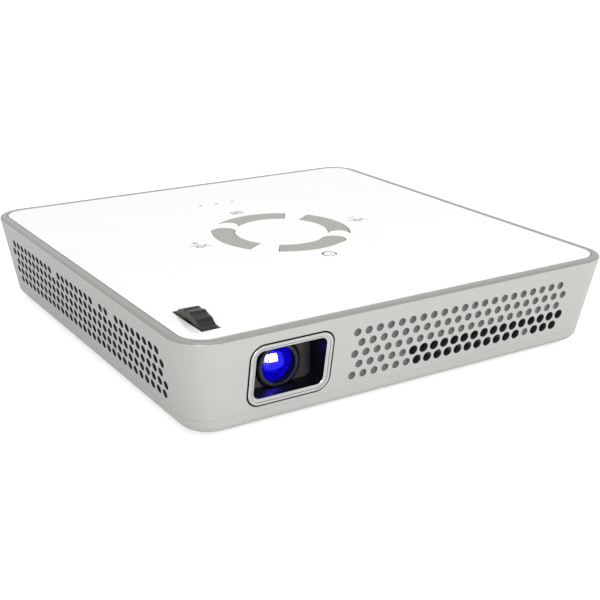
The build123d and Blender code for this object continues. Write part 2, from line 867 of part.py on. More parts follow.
def lens_body(radius, edge_t, crown, y_front):
    """A glass element, crowned towards the front, with a flat back."""
    ball = crown_radius(radius, crown)
    half_way = ball - sqrt(ball * ball - radius * radius / 4)
    y_edge = y_front + crown
    y_back = y_edge + edge_t
    crown_line = ThreePointArc((0, y_front), (radius / 2, y_front + half_way), (radius, y_edge))
    rest = Polyline((radius, y_edge), (radius, y_back), (0, y_back), (0, y_front))
    return Pos(lens_x, 0, lens_z) * revolve(make_face(crown_line + rest), Axis.Y, 360)


def make_front_lens():
    """The large front element, behind the retainer ring."""
    return lens_body(lens_r, lens_edge_t, lens_crown, nose_y + lens_set_back)


def make_rear_lens():
    """The small rear group in the barrel's tail."""
    y_front = tail_end_y - rear_lens_t - rear_lens_crown
    return lens_body(rear_lens_r, rear_lens_t, rear_lens_crown, y_front)


def make_lens_retainer():
    """Thin black ring in the barrel's nose that ends where it meets the crown of the front lens."""
    ball = crown_radius(lens_r, lens_crown)
    sag = ball - sqrt(ball * ball - retainer_in_r * retainer_in_r)
    y1 = nose_y + lens_set_back + sag - fixed_gap
    ring = along_y(lens_x, nose_y, y1, lens_z, barrel_bore_r - fixed_gap)
    return ring - along_y(lens_x, nose_y - 1, y1 + 1, lens_z, retainer_in_r)


def rack_ends():
    """Where the rack starts and ends along Y, half a pitch past its end teeth."""
    pitch = pi * pinion_module
    return wheel_y - (rack_teeth_front + 0.5) * pitch, wheel_y + (rack_teeth_back + 0.5) * pitch


def rack_points():
    """Outline of the rack in the YZ plane, with its teeth up and one tooth under the pinion's axis."""
    pitch = pi * pinion_module
    slope = tan(radians(pressure_angle))
    half_pitch_line = pitch / 4 - backlash / 4
    top = rack_z + tooth_top * pinion_module
    root = rack_z - tooth_bottom * pinion_module
    half_top = half_pitch_line - tooth_top * pinion_module * slope
    half_root = half_pitch_line + tooth_bottom * pinion_module * slope
    front, back = rack_ends()
    points = [(front, root - rack_back), (front, root)]
    for tooth in range(-rack_teeth_front, rack_teeth_back + 1):
        y = wheel_y + tooth * pitch
        points += [(y - half_root, root), (y - half_top, top)]
        points += [(y + half_top, top), (y + half_root, root)]
    return points + [(back, root), (back, root - rack_back)]


def make_focus_rack():
    """Rack beside the barrel, with an arm that joins it."""
    root = rack_z - tooth_bottom * pinion_module
    outline = make_face(Plane.YZ.offset(rack_x) * Polyline(*rack_points(), close=True))
    rack = extrude(outline, amount=rack_w, dir=(1, 0, 0))
    end = rack_ends()[1]
    arm = block(rack_x, lens_x, end - rack_arm_d, end, root - rack_back, root)
    arm -= along_y(lens_x, end - rack_arm_d - 1, end + 1, lens_z, barrel_r)
    return rack + arm


def pinion_points():
    """Outline of the pinion about its own axis, with a gap pointing straight down."""
    base_r = pinion_r * cos(radians(pressure_angle))
    tip_r = pinion_r + tooth_top * pinion_module
    root_r = pinion_r - tooth_bottom * pinion_module

    def involute(radius):
        if radius <= base_r:
            return 0.0
        angle = acos(base_r / radius)
        return tan(angle) - angle

    at_pitch = tan(radians(pressure_angle)) - radians(pressure_angle)
    half_pitch = pi / (2 * pinion_teeth) - backlash / (4 * pinion_r)
    radii = [root_r, base_r, (base_r + tip_r) / 2, tip_r]
    points = []
    for tooth in range(pinion_teeth):
        middle = -pi / 2 + (tooth + 0.5) * 2 * pi / pinion_teeth
        for side, order in ((-1, radii), (1, radii[::-1])):
            for radius in order:
                angle = middle + side * (half_pitch + at_pitch - involute(radius))
                points.append((radius * cos(angle), radius * sin(angle)))
    return points


def make_focus_pinion():
    """Small spur gear beside the wheel, on the same axle."""
    outline = make_face(Plane.YZ.offset(pinion_x) * Polyline(*pinion_points(), close=True))
    gear = Pos(0, wheel_y, wheel_z) * extrude(outline, amount=pinion_w, dir=(1, 0, 0))
    return gear - along_x(pinion_x - 1, pinion_x + pinion_w + 1, wheel_y, wheel_z, axle_r + run_gap)


def make_focus_wheel():
    """Thumb wheel with ribs across its tread and a shallow dish in each face."""
    valley_r = wheel_r - wheel_rib_h
    points = []
    for rib in range(wheel_ribs):
        middle = pi / 2 + rib * 2 * pi / wheel_ribs
        foot = wheel_rib_foot / 2 / valley_r
        top = wheel_rib_top / 2 / wheel_r
        for radius, shift in ((valley_r, -foot), (wheel_r, -top), (wheel_r, top), (valley_r, foot)):
            points.append((radius * cos(middle + shift), radius * sin(middle + shift)))
    left = wheel_x - wheel_w / 2
    right = wheel_x + wheel_w / 2
    outline = make_face(Plane.YZ.offset(left) * Polyline(*points, close=True))
    wheel = Pos(0, wheel_y, wheel_z) * extrude(outline, amount=wheel_w, dir=(1, 0, 0))
    for x0, x1 in ((left, left + wheel_dish_d), (right - wheel_dish_d, right)):
        dish = along_x(x0, x1, wheel_y, wheel_z, wheel_dish_r)
        wheel -= dish - along_x(x0, x1, wheel_y, wheel_z, wheel_hub_r)
    return wheel - along_x(left - 1, right + 1, wheel_y, wheel_z, axle_r + run_gap)


def make_wheel_axle():
    """Steel pin held in the bracket's two arms."""
    return along_x(bracket_x_left, bracket_x_right + bracket_t, wheel_y, wheel_z, axle_r)


def make_wheel_bracket():
    """U-shaped bracket on the floor with an arm at each side of the wheel and pinion."""
    y0 = wheel_y - bracket_d / 2
    y1 = wheel_y + bracket_d / 2
    base_z1 = z_floor + bracket_base_t
    bracket = block(bracket_x_left, bracket_x_right + bracket_t, y0, y1, z_floor, base_z1)
    for x in (bracket_x_left, bracket_x_right):
        bracket += block(x, x + bracket_t, y0, y1, base_z1, wheel_z)
        bracket += along_x(x, x + bracket_t, wheel_y, wheel_z, bracket_top_r)
        bracket -= along_x(x - 0.5, x + bracket_t + 0.5, wheel_y, wheel_z, axle_r + fixed_gap)
    return bracket


# ---------------------------------------------------------------- light engine
def make_engine_housing():
    """Open-topped box on four feet, with a bore for the barrel and seats for the chip and the lamps."""
    x0, x1, y0, y1 = engine_x0, engine_x1, engine_y0, engine_y1
    t = engine_wall
    box = block(x0, x1, y0, y1, engine_z0, engine_z1)
    box -= block(x0 + t, x1 - t, y0 + t, y1 - t, engine_z0 + t, engine_z1)
    for x in (x0, x1 - engine_foot):
        for y in (y0, y1 - engine_foot):
            box += block(x, x + engine_foot, y, y + engine_foot, z_floor, engine_z0)
    box -= along_y(lens_x, y0 - 1, y0 + t + 1, lens_z, tail_r + engine_bore_gap)
    half_w = chip_w / 2
    half_h = chip_h / 2
    box -= block(lens_x - half_w, lens_x + half_w, y1 - t - 1, y1 + 1, lens_z - half_h, lens_z + half_h)
    return box


def make_engine_cover():
    """Flat lid of the light engine."""
    return block(engine_x0, engine_x1, engine_y0, engine_y1, engine_z1, engine_z1 + engine_cover_t)


def make_mirror_chip():
    """The micromirror chip, held in the window in the engine's back wall by its board."""
    half_w = chip_w / 2 - seat_gap
    half_h = chip_h / 2 - seat_gap
    y1 = engine_y1
    chip = block(lens_x - half_w, lens_x + half_w, y1 - chip_t, y1, lens_z - half_h, lens_z + half_h)
    half_w -= chip_rim
    half_h -= chip_rim
    y0 = y1 - chip_t
    y1 = y0 + chip_glass_sink
    return chip - block(lens_x - half_w, lens_x + half_w, y0, y1, lens_z - half_h, lens_z + half_h)


def make_chip_board():
    """Small board on the engine's back wall that carries the chip and a connector."""
    half_w = chip_board_w / 2
    half_h = chip_board_h / 2
    y1 = engine_y1 + chip_board_t
    board = block(lens_x - half_w, lens_x + half_w, engine_y1, y1, lens_z - half_h, lens_z + half_h)
    z = lens_z + half_h
    half_plug = flex_w / 2 + 1
    return board + block(lens_x - half_plug, lens_x + half_plug, y1, y1 + plug_t, z - plug_h, z)


def make_prism():
    """Wedge of glass between the chip and the rear lens, on the engine's floor."""
    y1 = engine_y1 - engine_wall - prism_gap
    z0 = engine_z0 + engine_wall
    x0 = lens_x - prism_w / 2
    x1 = lens_x + prism_w / 2
    outline = Polyline((x0, y1), (x1, y1), (x1, y1 - prism_w), (x0, y1 - prism_w / 3), close=True)
    return extrude(make_face(Pos(0, 0, z0) * outline), amount=prism_h, dir=(0, 0, 1))


def lamp_places():
    """Each lamp's middle on its wall and the turn, about Z, that makes it face into the engine."""
    x = engine_x1 - engine_wall - plate_w / 2
    y = engine_y1 - engine_wall - lamp_inset
    return {
        "red_lamp": (x, engine_y1 - engine_wall, 180),
        "green_lamp": (engine_x1 - engine_wall, y, 90),
        "blue_lamp": (x, engine_y0 + engine_wall, 0),
    }


def make_lamp(x, y, turn):
    """A lamp module: a square board on the wall with a domed emitter that faces +Y before the turn."""
    half = led_board_w / 2
    lamp = block(-half, half, 0, led_board_t, -half, half)
    dome = Pos(0, led_board_t, 0) * Sphere(led_dome_r)
    lamp += dome & block(-half, half, led_board_t, led_board_t + led_dome_r, -half, half)
    z = engine_z0 + engine_wall + half
    return Pos(x, y, z) * Rot(0, 0, turn) * lamp


def make_colour_plates():
    """Two crossed glass plates that bring the three colours together, standing on the engine's floor."""
    x, y = lamp_places()["red_lamp"][0], lamp_places()["green_lamp"][1]
    z0 = engine_z0 + engine_wall
    plate = block(-plate_w / 2, plate_w / 2, -plate_t / 2, plate_t / 2, z0, z0 + prism_h)
    return Pos(x, y, 0) * (Rot(0, 0, 45) * plate + Rot(0, 0, -45) * plate)


def make_heat_block():
    """Copper block on the engine's side that takes heat from the lamps to the pipe."""
    y = lamp_places()["green_lamp"][1]
    half = heat_block_d / 2
    z0 = pipe_z - heat_block_h
    return block(engine_x1, engine_x1 + heat_block_t, y - half, y + half, z0, pipe_z + pipe_r)


def make_heat_pipe():
    """Copper pipe from the heat block, round a bend and across the top of the fins."""
    y_start = lamp_places()["green_lamp"][1] + heat_block_d / 2
    y_turn = (fin_y0 + fin_y1) / 2
    x_end = fan_x1 - pipe_r
    route = FilletPolyline(
        (pipe_x, y_start, pipe_z), (pipe_x, y_turn, pipe_z), (x_end, y_turn, pipe_z), radius=pipe_bend_r
    )
    section = Plane(origin=(pipe_x, y_start, pipe_z), z_dir=(0, -1, 0)) * Circle(pipe_r)
    return sweep(section, path=route)


# ---------------------------------------------------------------- blower and fins
def make_fan_housing():
    """Scroll housing that is open at the top and towards the fins, with the bearing's post."""
    z1 = z_floor + fan_h - fan_skin
    housing = block(fan_x0, fan_x1, fan_y0, fan_y_back, z_floor, z1)
    scroll = post(fan_x + scroll_shift, fan_y, z_floor + fan_skin, z1, scroll_r)
    right = fan_x + scroll_shift + scroll_r
    mouth = block(right - scroll_mouth, right, fan_y0, fan_y, z_floor + fan_skin, z1)
    housing -= scroll + mouth
    housing += post(fan_x, fan_y, z_floor + fan_skin, z_floor + impeller_lift, bearing_r + fan_skin)
    z0 = z_floor + fan_skin / 2
    return housing - post(fan_x, fan_y, z0, z_floor + impeller_lift, bearing_r + fixed_gap)


def make_fan_cover():
    """Lid of the blower with its round inlet."""
    z1 = z_floor + fan_h
    lid = block(fan_x0, fan_x1, fan_y0, fan_y_back, z1 - fan_skin, z1)
    return lid - post(fan_x, fan_y, z1 - fan_skin, z1, inlet_r)


def make_fan_bearing():
    """Brass sleeve that the impeller's shaft turns in."""
    z0 = z_floor + fan_skin / 2
    sleeve = post(fan_x, fan_y, z0, z0 + bearing_len, bearing_r)
    return sleeve - post(fan_x, fan_y, z0 + fan_skin / 2, z0 + bearing_len, shaft_r + run_gap)


def make_fan_stator():
    """Wound ring with slots between its poles, on the bearing inside the impeller's hub."""
    z0 = z_floor + impeller_lift
    ring = post(fan_x, fan_y, z0, z0 + stator_h, stator_r)
    ring -= post(fan_x, fan_y, z0, z0 + stator_h, bearing_r + fixed_gap)
    core_r = (stator_r + bearing_r) / 2
    for pole in range(stator_poles):
        slot = block(core_r, stator_r + 1, -stator_slot / 2, stator_slot / 2, z0, z0 + stator_h)
        ring -= Pos(fan_x, fan_y, 0) * Rot(0, 0, pole * 360 / stator_poles) * slot
    return ring


def make_fan_impeller():
    """Cup-shaped hub with leaning blades round it."""
    z0 = z_floor + impeller_lift + hub_lift
    z1 = z0 + impeller_h
    hub = post(0, 0, z0, z1, hub_r) - post(0, 0, z0, z1 - hub_skin, hub_r - hub_skin)
    reach = impeller_r - hub_r
    for blade in range(blade_count):
        plate = block(0, reach + hub_skin, -blade_t / 2, blade_t / 2, z0, z1 - hub_skin / 2)
        plate = Pos(hub_r - hub_skin / 2, 0, 0) * Rot(0, 0, blade_lean) * plate
        hub += Rot(0, 0, blade * 360 / blade_count) * plate
    hub -= post(0, 0, z0, z1, shaft_r + fixed_gap)
    return Pos(fan_x, fan_y, 0) * hub


def make_fan_shaft():
    """Steel shaft, fixed in the impeller's hub and running in the bearing."""
    z1 = z_floor + impeller_lift + hub_lift + impeller_h
    return post(fan_x, fan_y, z_floor + fan_skin + run_gap, z1, shaft_r)


def make_fin_stack():
    """Thin copper fins between two plates, in front of the blower's mouth and under the heat pipe."""
    x0 = fan_x0 + fin_margin
    x1 = fan_x1 - fin_margin
    stack = block(x0, x1, fin_y0, fin_y1, z_floor, z_floor + fin_plate_t)
    stack += block(x0, x1, fin_y0, fin_y1, fin_top - fin_plate_t, fin_top)
    step = (x1 - x0 - fin_t) / (fin_count - 1)
    fins = []
    for fin in range(fin_count):
        x = x0 + fin * step
        fins.append(block(x, x + fin_t, fin_y0, fin_y1, z_floor, fin_top))
    return stack + fins


# ---------------------------------------------------------------- battery, main board and speaker
def cell_places():
    """Lower left corner of each battery cell, seen from above."""
    y0 = (post_y0 + post_y1 - cell_d) / 2
    return [(-cell_w - cell_gap / 2, y0), (cell_gap / 2, y0)]


def make_battery_cells():
    """Two flat pouch cells with rounded long edges."""
    cells = []
    for x, y in cell_places():
        cell = block(x, x + cell_w, y, y + cell_d, z_floor + pad_t, z_floor + pad_t + cell_t)
        cells.append(fillet(cell.edges().filter_by(Axis.Y), cell_edge_r))
    return cells


def make_battery_pads():
    """Foam pads that hold the cells to the floor."""
    m = pad_margin
    pads = []
    for x, y in cell_places():
        pads.append(block(x + m, x + cell_w - m, y + m, y + cell_d - m, z_floor, z_floor + pad_t))
    return pads


def make_main_board():
    """Main board with holes over its posts."""
    board = block(-board_half, board_half, board_y0, board_y1, z_board, z_board_top)
    for x, y in board_posts():
        board -= post(x, y, z_board, z_board_top, post_hole_r)
    return board


def make_board_screws():
    """Four screws that hold the main board to its posts."""
    length = post_screw_len - seat_gap
    screws = []
    for x, y in board_posts():
        screws.append(screw(x, y, z_board_top, post_screw_r, length, post_head_r, post_head_t, -1))
    return screws


def make_board_chips():
    """Parts on top of the main board: processor, memories, coils and the three indicator lamps."""
    chips = []
    for x, y, width, depth, height in chip_list:
        x0 = x - width / 2
        y0 = board_y0 + y - depth / 2
        chips.append(block(x0, x0 + width, y0, y0 + depth, z_board_top, z_board_top + height))
    half = light_leg_w / 2
    for x, y in light_places():
        chips.append(block(x - half, x + half, y - half, y + half, z_board_top, z_board_top + light_led_t))
    return chips


def make_wireless_module():
    """Small board on the main board with a shield can."""
    x1 = board_half - post_inset - post_r - 1
    x0 = x1 - wireless_w
    y0 = board_y0 + 1
    z1 = z_board_top + wireless_t
    card = block(x0, x1, y0, y0 + wireless_d, z_board_top, z1)
    edge = wireless_edge
    return card + block(x0 + edge, x1 - 3 * edge, y0 + edge, y0 + wireless_d - edge, z1, z1 + wireless_can_t)


def make_socket(x, width, height, depth):
    """Folded metal shell of a socket, closed at its back, standing on the main board."""
    z = z_board_top + height / 2
    y1 = socket_mouth(z)
    shell = block(x - width / 2, x + width / 2, y1 - depth, y1, z_board_top, z_board_top + height)
    half_w = width / 2 - socket_skin
    half_h = height / 2 - socket_skin
    return shell - block(x - half_w, x + half_w, y1 - depth + socket_skin, y1, z - half_h, z + half_h)


def make_socket_tongues():
    """Plastic tongues inside the sockets, each on a block at the back of its shell."""
    tongues = []
    for name, x, width, height, depth in socket_list():
        z = z_board_top + height / 2
        y0 = socket_mouth(z) - depth + socket_skin
        y1 = socket_mouth(z) - min(tongue_short, depth / 4)
        half_w = width / 2 - socket_skin
        half_h = height / 2 - socket_skin
        half_t = height * tongue_share / 2
        z_tongue = z + tongue_lift if name == "data" else z
        root = block(x - half_w, x + half_w, y0, y0 + depth / 5, z - half_h, z + half_h)
        half_w *= 0.85
        tongues.append(root + block(x - half_w, x + half_w, y0, y1, z_tongue - half_t, z_tongue + half_t))
    return tongues


def make_audio_jack():
    """Round 3.5 mm jack with a collar in the rear wall."""
    z = z_board_top + audio_h / 2
    y1 = socket_mouth(z)
    y_wall = half_at(z_board_top) - wall_t - pass_gap
    half = audio_w / 2
    jack = block(audio_x - half, audio_x + half, y1 - audio_d, y_wall, z_board_top, z_board_top + audio_h)
    jack += along_y(audio_x, y_wall, y1, z, audio_collar_r)
    return jack - along_y(audio_x, y1 - audio_d, y1, z, audio_bore_r)


def make_speaker():
    """Slim speaker on edge behind the left grille: a frame with a dished cone."""
    x0 = -room + pass_gap
    z1 = z_floor + speaker_h
    y0 = speaker_y - speaker_w / 2
    frame = block(x0, x0 + speaker_t, y0, y0 + speaker_w, z_floor, z1)
    middle = (z_floor + z1) / 2
    for y in (speaker_y - speaker_w / 4, speaker_y + speaker_w / 4):
        cone = Rot(0, 90, 0) * Cone(speaker_cone_r, speaker_cone_r / 3, speaker_t / 2)
        frame -= Pos(x0 + speaker_t / 4, y, middle) * cone
    return frame


# ---------------------------------------------------------------- cables and leads inside the casing
def ribbon(points, width):
    """A flat cable in the YZ plane: straight runs joined by bends, as wide as given along X."""
    path = FilletPolyline(*points, radius=flex_bend_r)
    start = Vector(*points[0])
    along = Vector(*points[1]) - start
    section = Plane(origin=start, x_dir=(1, 0, 0), z_dir=along) * Rectangle(width, flex_t)
    return sweep(section, path=path)


def make_key_flex():
    """Flat cable from under the key board's back edge down to the main board."""
    x = key_flex_x
    y0 = ring_y + key_board_r - flex_run
    z0 = z_key_board - flex_t / 2
    y1 = ring_y + key_board_r + flex_run
    z1 = z_board_top + flex_t / 2
    return ribbon([(x, y0, z0), (x, y1, z0), (x, y1, z1), (x, y1 + flex_run, z1)], flex_w)


def make_chip_flex():
    """Flat cable from the chip board's connector to the main board."""
    y0 = engine_y1 + chip_board_t + plug_t
    z0 = lens_z + chip_board_h / 2 - chip_flex_drop
    z1 = z_board_top + flex_t / 2
    points = [(y0, z0), (chip_flex_y, z0), (chip_flex_y, z1), (lead_end_y, z1)]
    return ribbon([(lens_x, y, z) for y, z in points], flex_w)


def lead(points):
    """A round lead along a route that ends in a small plug on the main board."""
    along = Vector(*points[1]) - Vector(*points[0])
    section = Plane(origin=points[0], z_dir=along) * Circle(lead_r)
    wire = sweep(section, path=FilletPolyline(*points, radius=lead_bend_r))
    x, y, _ = points[-1]
    half = lead_plug_w / 2
    return wire + block(x - half, x + half, y, y + lead_plug_d, z_board_top, z_board_top + lead_plug_h)


def make_inner_leads():
    """Leads of the blower, of both battery cells and of the speaker."""
    cell_y = cell_places()[0][1]
    z_cell = z_floor + pad_t + cell_t / 2
    speaker_end = (-room + pass_gap + speaker_t / 2, speaker_y + speaker_w / 2, z_floor + speaker_h / 2)
    starts = [
        ((fan_lead_x, fan_y_back, z_floor + fan_h / 2), fan_lead_x),
        ((-battery_lead_x, cell_y, z_cell), -battery_lead_x),
        ((battery_lead_x, cell_y, z_cell), battery_lead_x),
        (speaker_end, speaker_lead_x),
    ]
    z_up = z_board_top + lead_plug_h / 2
    leads = []
    for (x0, y0, z0), x1 in starts:
        sideways = [(x1, lead_y, z0)] if x1 != x0 else []
        rise = [(x1, lead_y, z_up), (x1, lead_end_y, z_up)]
        leads.append(lead([(x0, y0, z0), (x0, lead_y, z0)] + sideways + rise))
    return leads


def main():
    os.makedirs("parts", exist_ok=True)
    feet = [make_foot(x, y) for x, y in foot_places()]
    nodes = {
        "side_frame": make_side_frame(),
        "bottom_cover": make_bottom_cover(),
        "top_panel": make_top_panel(),
        "lens_corner_foot": feet[0],
        "rubber_feet": feet[1:],
        "casing_screws": make_casing_screws(),
        "tripod_insert": make_tripod_insert(),
        "lens_bezel": make_lens_bezel(),
        "lens_hood": make_lens_hood(),
        "focus_wheel": make_focus_wheel(),
        "focus_pinion": make_focus_pinion(),
        "focus_rack": make_focus_rack(),
        "wheel_axle": make_wheel_axle(),
        "wheel_bracket": make_wheel_bracket(),
        "lens_barrel": make_lens_barrel(),
        "lens_retainer": make_lens_retainer(),
        "front_lens": make_front_lens(),
        "rear_lens": make_rear_lens(),
        "guide_rods": make_guide_rods(),
        "engine_housing": make_engine_housing(),
        "engine_cover": make_engine_cover(),
        "mirror_chip": make_mirror_chip(),
        "chip_board": make_chip_board(),
        "prism": make_prism(),
        "colour_plates": make_colour_plates(),
        "heat_block": make_heat_block(),
        "heat_pipe": make_heat_pipe(),
        "fin_stack": make_fin_stack(),
        "fan_housing": make_fan_housing(),
        "fan_cover": make_fan_cover(),
        "fan_bearing": make_fan_bearing(),
        "fan_stator": make_fan_stator(),
        "fan_impeller": make_fan_impeller(),
        "fan_shaft": make_fan_shaft(),
        "key_board": make_key_board(),
        "light_pipe": make_light_pipe(),
        "battery_cells": make_battery_cells(),
        "battery_pads": make_battery_pads(),
        "main_board": make_main_board(),
        "board_screws": make_board_screws(),
        "board_chips": make_board_chips(),
        "wireless_module": make_wireless_module(),
        "socket_tongues": make_socket_tongues(),
        "audio_jack": make_audio_jack(),
        "speaker": make_speaker(),
        "key_flex": make_key_flex(),
        "chip_flex": make_chip_flex(),
        "inner_leads": make_inner_leads(),
    }
    for name, place in lamp_places().items():
        nodes[name] = make_lamp(*place)
    for name, x, width, height, depth in socket_list():
        nodes[name + "_socket"] = make_socket(x, width, height, depth)
    for name, twin in (("volume_up_key", "power_key"), ("source_key", "volume_down_key")):
        nodes[name] = make_key(name)
        nodes[twin] = across_ring(nodes[name])
    for name, shape in nodes.items():
        solids = shape if isinstance(shape, list) else [shape]
        export_step(grouped(solids), f"parts/{name}.step")


main()
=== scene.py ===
import json
from math import cos, pi, radians, sin, sqrt, tan

import bmesh
import bpy
from mathutils import Matrix, Vector


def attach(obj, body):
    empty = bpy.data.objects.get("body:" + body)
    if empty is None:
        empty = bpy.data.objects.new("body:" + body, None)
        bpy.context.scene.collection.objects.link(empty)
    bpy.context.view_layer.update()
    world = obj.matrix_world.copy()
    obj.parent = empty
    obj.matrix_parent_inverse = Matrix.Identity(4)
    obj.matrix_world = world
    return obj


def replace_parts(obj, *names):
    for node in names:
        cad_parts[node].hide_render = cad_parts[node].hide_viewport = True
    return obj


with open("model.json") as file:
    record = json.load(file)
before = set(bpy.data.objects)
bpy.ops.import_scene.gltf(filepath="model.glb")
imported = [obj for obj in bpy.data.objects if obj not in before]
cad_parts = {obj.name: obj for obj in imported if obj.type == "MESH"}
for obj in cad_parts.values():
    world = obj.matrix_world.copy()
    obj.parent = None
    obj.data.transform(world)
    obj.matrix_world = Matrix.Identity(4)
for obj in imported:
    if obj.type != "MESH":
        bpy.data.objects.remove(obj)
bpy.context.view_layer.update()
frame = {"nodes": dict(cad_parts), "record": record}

# Palm-size projector: its looks, built in millimetres and scaled to metres as each mesh is made.
MM = 0.001
CASING = "casing"

# ------------------------------------------------------------------ sizes shared with the solids
BODY_W, Z_BASE, Z_FLOOR, Z_SPLIT, Z_LEDGE, Z_PANEL, Z_TOP = 123.0, 1.1, 2.9, 4.6, 21.1, 22.4, 24.0
DRAFT = radians(9.45)
LEAN = tan(DRAFT)
WALL = 1.8
RIM_W = 2.23
WINDOW = (-35.05, 13.35)
LENS = (-35.05, 12.4)
NOSE_Y = -54.627
WHEEL = (-51.638, -47.5, 16.8)
WHEEL_W = 4.0
BOARD_TOP = 14.2
FRONT_ROWS, FRONT_TOP_ROW, FRONT_ROW_PITCH = 5, 5.3, 2.78
FRONT_COLUMNS, FRONT_FIRST_X, FRONT_PITCH, FRONT_OPEN_X = 21, -18.2, 3.107, -2.5
LEFT_ROWS, LEFT_TOP_ROW, LEFT_ROW_PITCH = 5, 5.65, 2.66
LEFT_COLUMNS, LEFT_FIRST_Y, LEFT_PITCH, LEFT_MISSING = 31, 45.5, 3.05, (11, 20, 23)
WINDOW_HALF_W, WINDOW_HALF_H, WINDOW_R = 10.475, 7.475, 3.2
SOCKETS = ((29.0, 15.0, 5.6), (7.5, 13.3, 5.9), (-11.5, 8.0, 3.2))  # place in X, width and height
JACK_X, JACK_HOLE_R = -27.0, 3.15
FOOT_AT, FOOT_R = 50.388, 4.1
SCREW_X, SCREW_Y, SCREW_R = 52.488, 33.0, 2.0
INSERT_SEAT_R = 4.52
RING_STEPS = 18  # points along each corner of the casing's outlines
RIM_PAINTED_SHADE_FACE, INSIDE_PAINTED_SHADE_FACE, HOLE_PAINTED_SHADE_FACE, DEEP_HOLE_PAINTED_SHADE_FACE = 1, 2, 3, 4  # slots of the casing shell after its silver; all four are painted shade: a darker rim top, black inside faces, grey and near-black hole walls


def half_at(z):
    return BODY_W / 2 - (Z_TOP - z) * LEAN


def corner_at(z):
    return 7.0 + 1.35 * (z - Z_BASE) / 22.9


def depth_inside(p):
    """How far a point lies inside the casing's outer face at its height."""
    half, r = half_at(p.z), corner_at(p.z)
    qx, qy = abs(p.x) - half + r, abs(p.y) - half + r
    return -(sqrt(qx * qx + qy * qy) - r if qx > 0 and qy > 0 else max(qx, qy) - r)


# ------------------------------------------------------------------ materials
class Surface:
    """A procedural material: noise in the object's coordinates gives colour, roughness and bump."""

    def __init__(self, name, color, roughness=0.4, metallic=0.0, **shader):
        self.mat = bpy.data.materials.new(name)
        self.mat.use_nodes = True
        self.tree = self.mat.node_tree
        self.shader = self.tree.nodes["Principled BSDF"]
        self.color = color
        self.roughness = roughness
        self.shader.inputs["Metallic"].default_value = metallic
        for key, value in shader.items():
            self.shader.inputs[key.replace("_", " ")].default_value = value
        self.coords = self.tree.nodes.new("ShaderNodeTexCoord").outputs["Object"]
        self.normal = None
        self.mat.diffuse_color = (*color, 1)

    def node(self, kind, inputs=None, **settings):
        node = self.tree.nodes.new(kind)
        for key, value in settings.items():
            setattr(node, key, value)
        for key, value in (inputs or {}).items():
            if isinstance(value, bpy.types.NodeSocket):
                self.tree.links.new(value, node.inputs[key])
            else:
                node.inputs[key].default_value = value
        return node

    def link(self, output, socket):
        self.tree.links.new(output, socket)

    def noise(self, scale, detail=2.0, stretch=None):
        source = self.coords
        if stretch:
            source = self.node("ShaderNodeMapping", {"Vector": source, "Scale": stretch}).outputs[0]
        inputs = {"Vector": source, "Scale": scale, "Detail": detail}
        return self.node("ShaderNodeTexNoise", inputs).outputs["Fac"]

    def spread(self, factor, low, high):
        inputs = {"Value": factor, "From Min": 0.25, "From Max": 0.75, "To Min": low, "To Max": high}
        return self.node("ShaderNodeMapRange", inputs).outputs[0]

    def mottle(self, scale=700, amount=0.05, detail=3.0, stretch=None):
        """Base colour that drifts a little darker and lighter."""
        dark = tuple(c * (1 - amount) for c in self.color)
        light = tuple(min(1, c * (1 + amount)) for c in self.color)
        mix = self.node("ShaderNodeMix", data_type="RGBA")
        self.link(self.spread(self.noise(scale, detail, stretch), 0, 1), mix.inputs[0])
        mix.inputs[6].default_value = (*dark, 1)
        mix.inputs[7].default_value = (*light, 1)
        self.link(mix.outputs[2], self.shader.inputs["Base Color"])
        return self

    def painted_glints(self, scale, size, color):
        """Painted glints: scattered bright points mixed into the base colour."""
        cells = self.node("ShaderNodeTexVoronoi", {"Vector": self.coords, "Scale": scale, "Randomness": 1.0})
        inputs = {"Value": cells.outputs["Distance"], "From Min": size * 0.6, "From Max": size,
                  "To Min": 1.0, "To Max": 0.0}
        near = self.node("ShaderNodeMapRange", inputs).outputs[0]
        few = self.spread(self.noise(420, 1.0), -1.2, 1.2)
        chosen = self.node("ShaderNodeMath", {0: near, 1: few}, operation="MULTIPLY", use_clamp=True)
        mix = self.node("ShaderNodeMix", data_type="RGBA")
        self.link(chosen.outputs[0], mix.inputs[0])
        self.link(self.shader.inputs["Base Color"].links[0].from_socket, mix.inputs[6])
        mix.inputs[7].default_value = (*color, 1)
        self.link(mix.outputs[2], self.shader.inputs["Base Color"])
        return self

    def sheen_drift(self, scale=1500, amount=0.06, stretch=None):
        """Roughness that varies round its middle value."""
        low, high = max(0.02, self.roughness - amount), min(1, self.roughness + amount)
        self.link(self.spread(self.noise(scale, 2.0, stretch), low, high), self.shader.inputs["Roughness"])
        return self

    def soft_edges(self, radius):
        self.normal = self.node("ShaderNodeBevel", {"Radius": radius * MM}, samples=6).outputs[0]
        self.link(self.normal, self.shader.inputs["Normal"])
        return self

    def grain(self, scale=6000, height=0.004, strength=0.5, stretch=None):
        """Fine bump, with its height in millimetres."""
        inputs = {"Height": self.noise(scale, 2.0, stretch), "Strength": strength, "Distance": height * MM}
        bump = self.node("ShaderNodeBump", inputs)
        if self.normal:
            self.link(self.normal, bump.inputs["Normal"])
        self.normal = bump.outputs[0]
        self.link(self.normal, self.shader.inputs["Normal"])
        return self


def plastic(name, color, roughness, amount=0.05, height=0.006, edge=0.0, **shader):
    surface = Surface(name, color, roughness, **shader).mottle(900, amount).sheen_drift(2500, 0.06)
    if edge:
        surface.soft_edges(edge)
    return surface.grain(5500, height, 0.5)


def metal(name, color, roughness, stretch=(1, 1, 1), amount=0.06, height=0.003, edge=0.0):
    surface = Surface(name, color, roughness, 1.0)
    surface.mottle(900, amount, 3.0, stretch).sheen_drift(3000, 0.08, stretch)
    if edge:
        surface.soft_edges(edge)
    return surface.grain(4500, height, 0.5, stretch)


